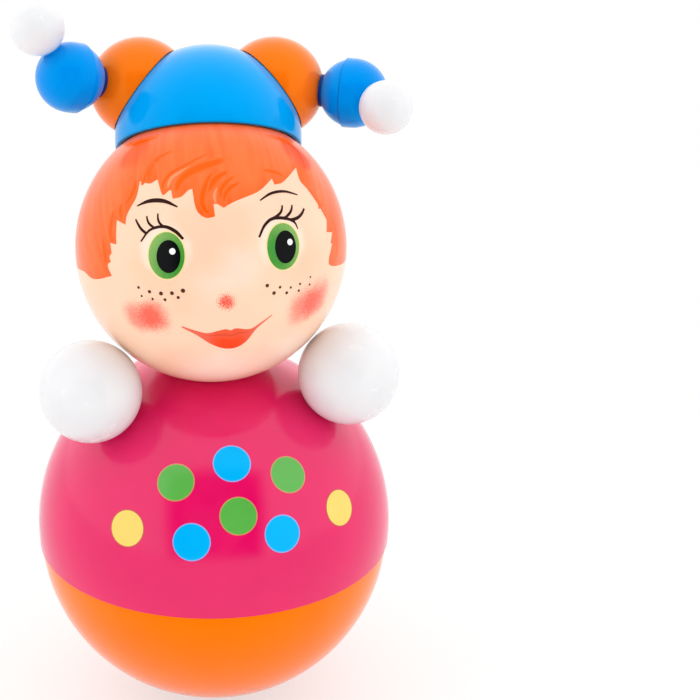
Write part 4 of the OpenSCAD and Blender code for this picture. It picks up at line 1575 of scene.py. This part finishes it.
@dataclass
class Hand:
    """One ball hand with the screw post inside it."""

    sizes: Sizes
    side: Side
    wall: float = 1.8
    post_len: float = 10.8
    lip_r: float = 7.1

    def build(self) -> None:
        """Turns the hand."""
        s, lip, word = self.sizes, self.lip_r, self.side.word
        foot, centre, inner = s.upper_r + s.pad_rise, s.hand_reach, s.hand_r - self.wall
        top, floor = foot + self.post_len, foot + self.wall
        out = arc(centre, s.hand_r, 90.0, -math.degrees(math.acos(lip / s.hand_r)), 76)
        out += [(lip, foot), (SCREW_BORE, foot), (SCREW_BORE, top), (s.post_r, top), (s.post_r, floor)]
        out += arc(centre, inner, latitude(floor - centre, inner), 90.0, 48)
        form = Form()
        form.turn(out, s.hand(self.side), 160)
        form.make(f"hand_{word}_visual", WHITE, slot="ball_white", nodes=(f"hand_{word}",))


@dataclass
class Works:
    """The inner pieces, which keep their CAD meshes and get the finish that a word in their name asks for."""

    finishes: dict[str, Finish] = field(default_factory=lambda: {
        "neck": INNER, "chime_base": INNER, "hammer_arm": INNER, "hammer_head": BRASS, "hammer_axle": STEEL,
        "tone_rod": STEEL, "ballast_weight": IRON, "screw": SCREW,
    })

    def build(self) -> None:
        """Gives each CAD node that still shows its finish."""
        for name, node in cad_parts.items():
            if node.hide_render:
                continue
            finish = next(f for word, f in self.finishes.items() if word in name)
            node.data.materials.clear()
            node.data.materials.append(finish.make())
            LOG.info("%s: CAD mesh in %s", name, finish.name)


# Studio


@dataclass
class Studio:
    """A pale floor, a white tent, a dark flag behind the camera that the gloss shows, and the camera.

    Angles are in degrees and distances in metres. The aim lies at a named place in a frame of so many pixels.
    """

    view: Angles = (-7.8, 24.3)
    roll: float = -0.7
    distance: float = 1.15
    lens: float = 138.9
    sensor: float = 36.0
    clip: tuple[float, float] = (0.01, 20.0)
    aim: Vector = field(default_factory=lambda: Vector((0.0, 0.0, 0.15)))
    aim_pixel: tuple[float, float] = (212.65, 367.4)
    frame_pixels: float = 700.0
    tent: float = 1.34
    fills: tuple[tuple[Angles, float], ...] = (((-7.5, 8.0), 4.0), ((-7.5, 38.0), 2.6))
    fill_distance: float = 1.4
    fill_size: float = 1.0
    flag_at: Angles = (-7.0, 27.5)
    flag_half: Angles = (38.0, 35.5)
    flag_distance: float = 2.0
    floor_half: float = 6.0
    corners: tuple[tuple[int, int], ...] = ((-1, -1), (1, -1), (1, 1), (-1, 1))

    def camera(self) -> None:
        """Sets the camera so that the aim lies where it does in the frame."""
        back = bearing(*self.view)
        right = Vector((0, 0, 1)).cross(back).normalized()
        up = back.cross(right)
        roll = Matrix.Rotation(math.radians(self.roll), 3, back)
        right, up = roll @ right, roll @ up
        eye = self.aim + back * self.distance
        per_pixel = self.distance * self.sensor / (self.lens * self.frame_pixels)
        aside, above = (self.frame_pixels / 2 - pixel for pixel in self.aim_pixel)
        back = (back * self.distance - (right * aside - up * above) * per_pixel).normalized()
        right = up.cross(back).normalized()
        up = back.cross(right)
        data = bpy.data.cameras.new("Camera")
        data.lens, data.sensor_width, data.sensor_fit = self.lens, self.sensor, "HORIZONTAL"
        data.clip_start, data.clip_end = self.clip
        camera = bpy.data.objects.new("Camera", data)
        camera.matrix_world = Matrix.Translation(eye) @ Matrix((right, up, back)).transposed().to_4x4()
        bpy.context.scene.collection.objects.link(camera)
        bpy.context.scene.camera = camera

    def light(self) -> None:
        """Lights the toy with a white tent and fill panels that do not show in the gloss."""
        world = bpy.data.worlds.new("Tent")
        world.use_nodes = True
        bpy.context.scene.world = world
        ground = world.node_tree.nodes["Background"]
        ground.inputs["Color"].default_value = linear("#FFFFFF")
        ground.inputs["Strength"].default_value = self.tent
        for at, watts in self.fills:
            data = bpy.data.lights.new("Fill panel", "AREA")
            data.energy, data.size = watts, self.fill_size
            panel = bpy.data.objects.new("Fill panel", data)
            panel.location = self.aim + bearing(*at) * self.fill_distance
            panel.rotation_euler = bearing(*at).to_track_quat("Z", "Y").to_euler()
            panel.visible_glossy = False
            bpy.context.scene.collection.objects.link(panel)

    def sheet(self, name: str, spots: Sequence[Vector], finish: Finish) -> bpy.types.Object:
        """Adds a flat sheet to the stage.

        Args:
            name: The sheet's name.
            spots: Its four corners.
            finish: Its finish.

        Returns:
            The sheet.
        """
        data = bpy.data.meshes.new(name)
        data.from_pydata([tuple(spot) for spot in spots], [], [(0, 1, 2, 3)])
        for loop, (x, y) in zip(data.uv_layers.new(name=FLOW).data, self.corners):
            loop.uv = ((x + 1) / 2, (y + 1) / 2)
        data.materials.append(finish.make())
        piece = bpy.data.objects.new(name, data)
        bpy.context.scene.collection.objects.link(piece)
        return piece

    def flag(self) -> None:
        """Hangs the dark flag behind the camera, out of the camera's sight."""
        out = bearing(*self.flag_at)
        right = Vector((-out.y, out.x, 0.0)).normalized()
        up = out.cross(right)
        wide, high = (math.tan(math.radians(half)) * self.flag_distance for half in self.flag_half)
        middle = self.aim + out * self.flag_distance
        spots = [middle + right * (wide * x) + up * (high * y) for x, y in self.corners]
        # Matt black cloth, which the gloss shows as a soft dark patch.
        cloth = FlagCloth("Black felt, studio flag", "#101010", roughness=0.8, tent=self.tent)
        self.sheet("Flag", spots, cloth).visible_camera = False

    def floor(self) -> None:
        """Lays the pale floor."""
        spots = [Vector((x, y, 0.0)) * self.floor_half for x, y in self.corners]
        # Matt white board, plain but for the toy's soft shadow.
        self.sheet("Floor", spots, FloorPaint("White board, matt", "#F8F8F8", roughness=0.6, mottle=0.004))

    def build(self) -> None:
        """Builds the studio."""
        bpy.context.scene.view_settings.view_transform = "Standard"
        self.camera()
        self.light()
        self.flag()
        self.floor()


def main() -> None:
    logging.basicConfig(level=logging.INFO, format="%(name)s %(message)s")
    printer = SpotPrinter()
    Studio().build()
    Body(SIZES, printer).build()
    Head(SIZES, printer).build()
    Hat(SIZES).build()
    for side in Side:
        Tip(SIZES, side).build()
        Hand(SIZES, side).build()
    Works().build()


if __name__ == "__main__":
    main()
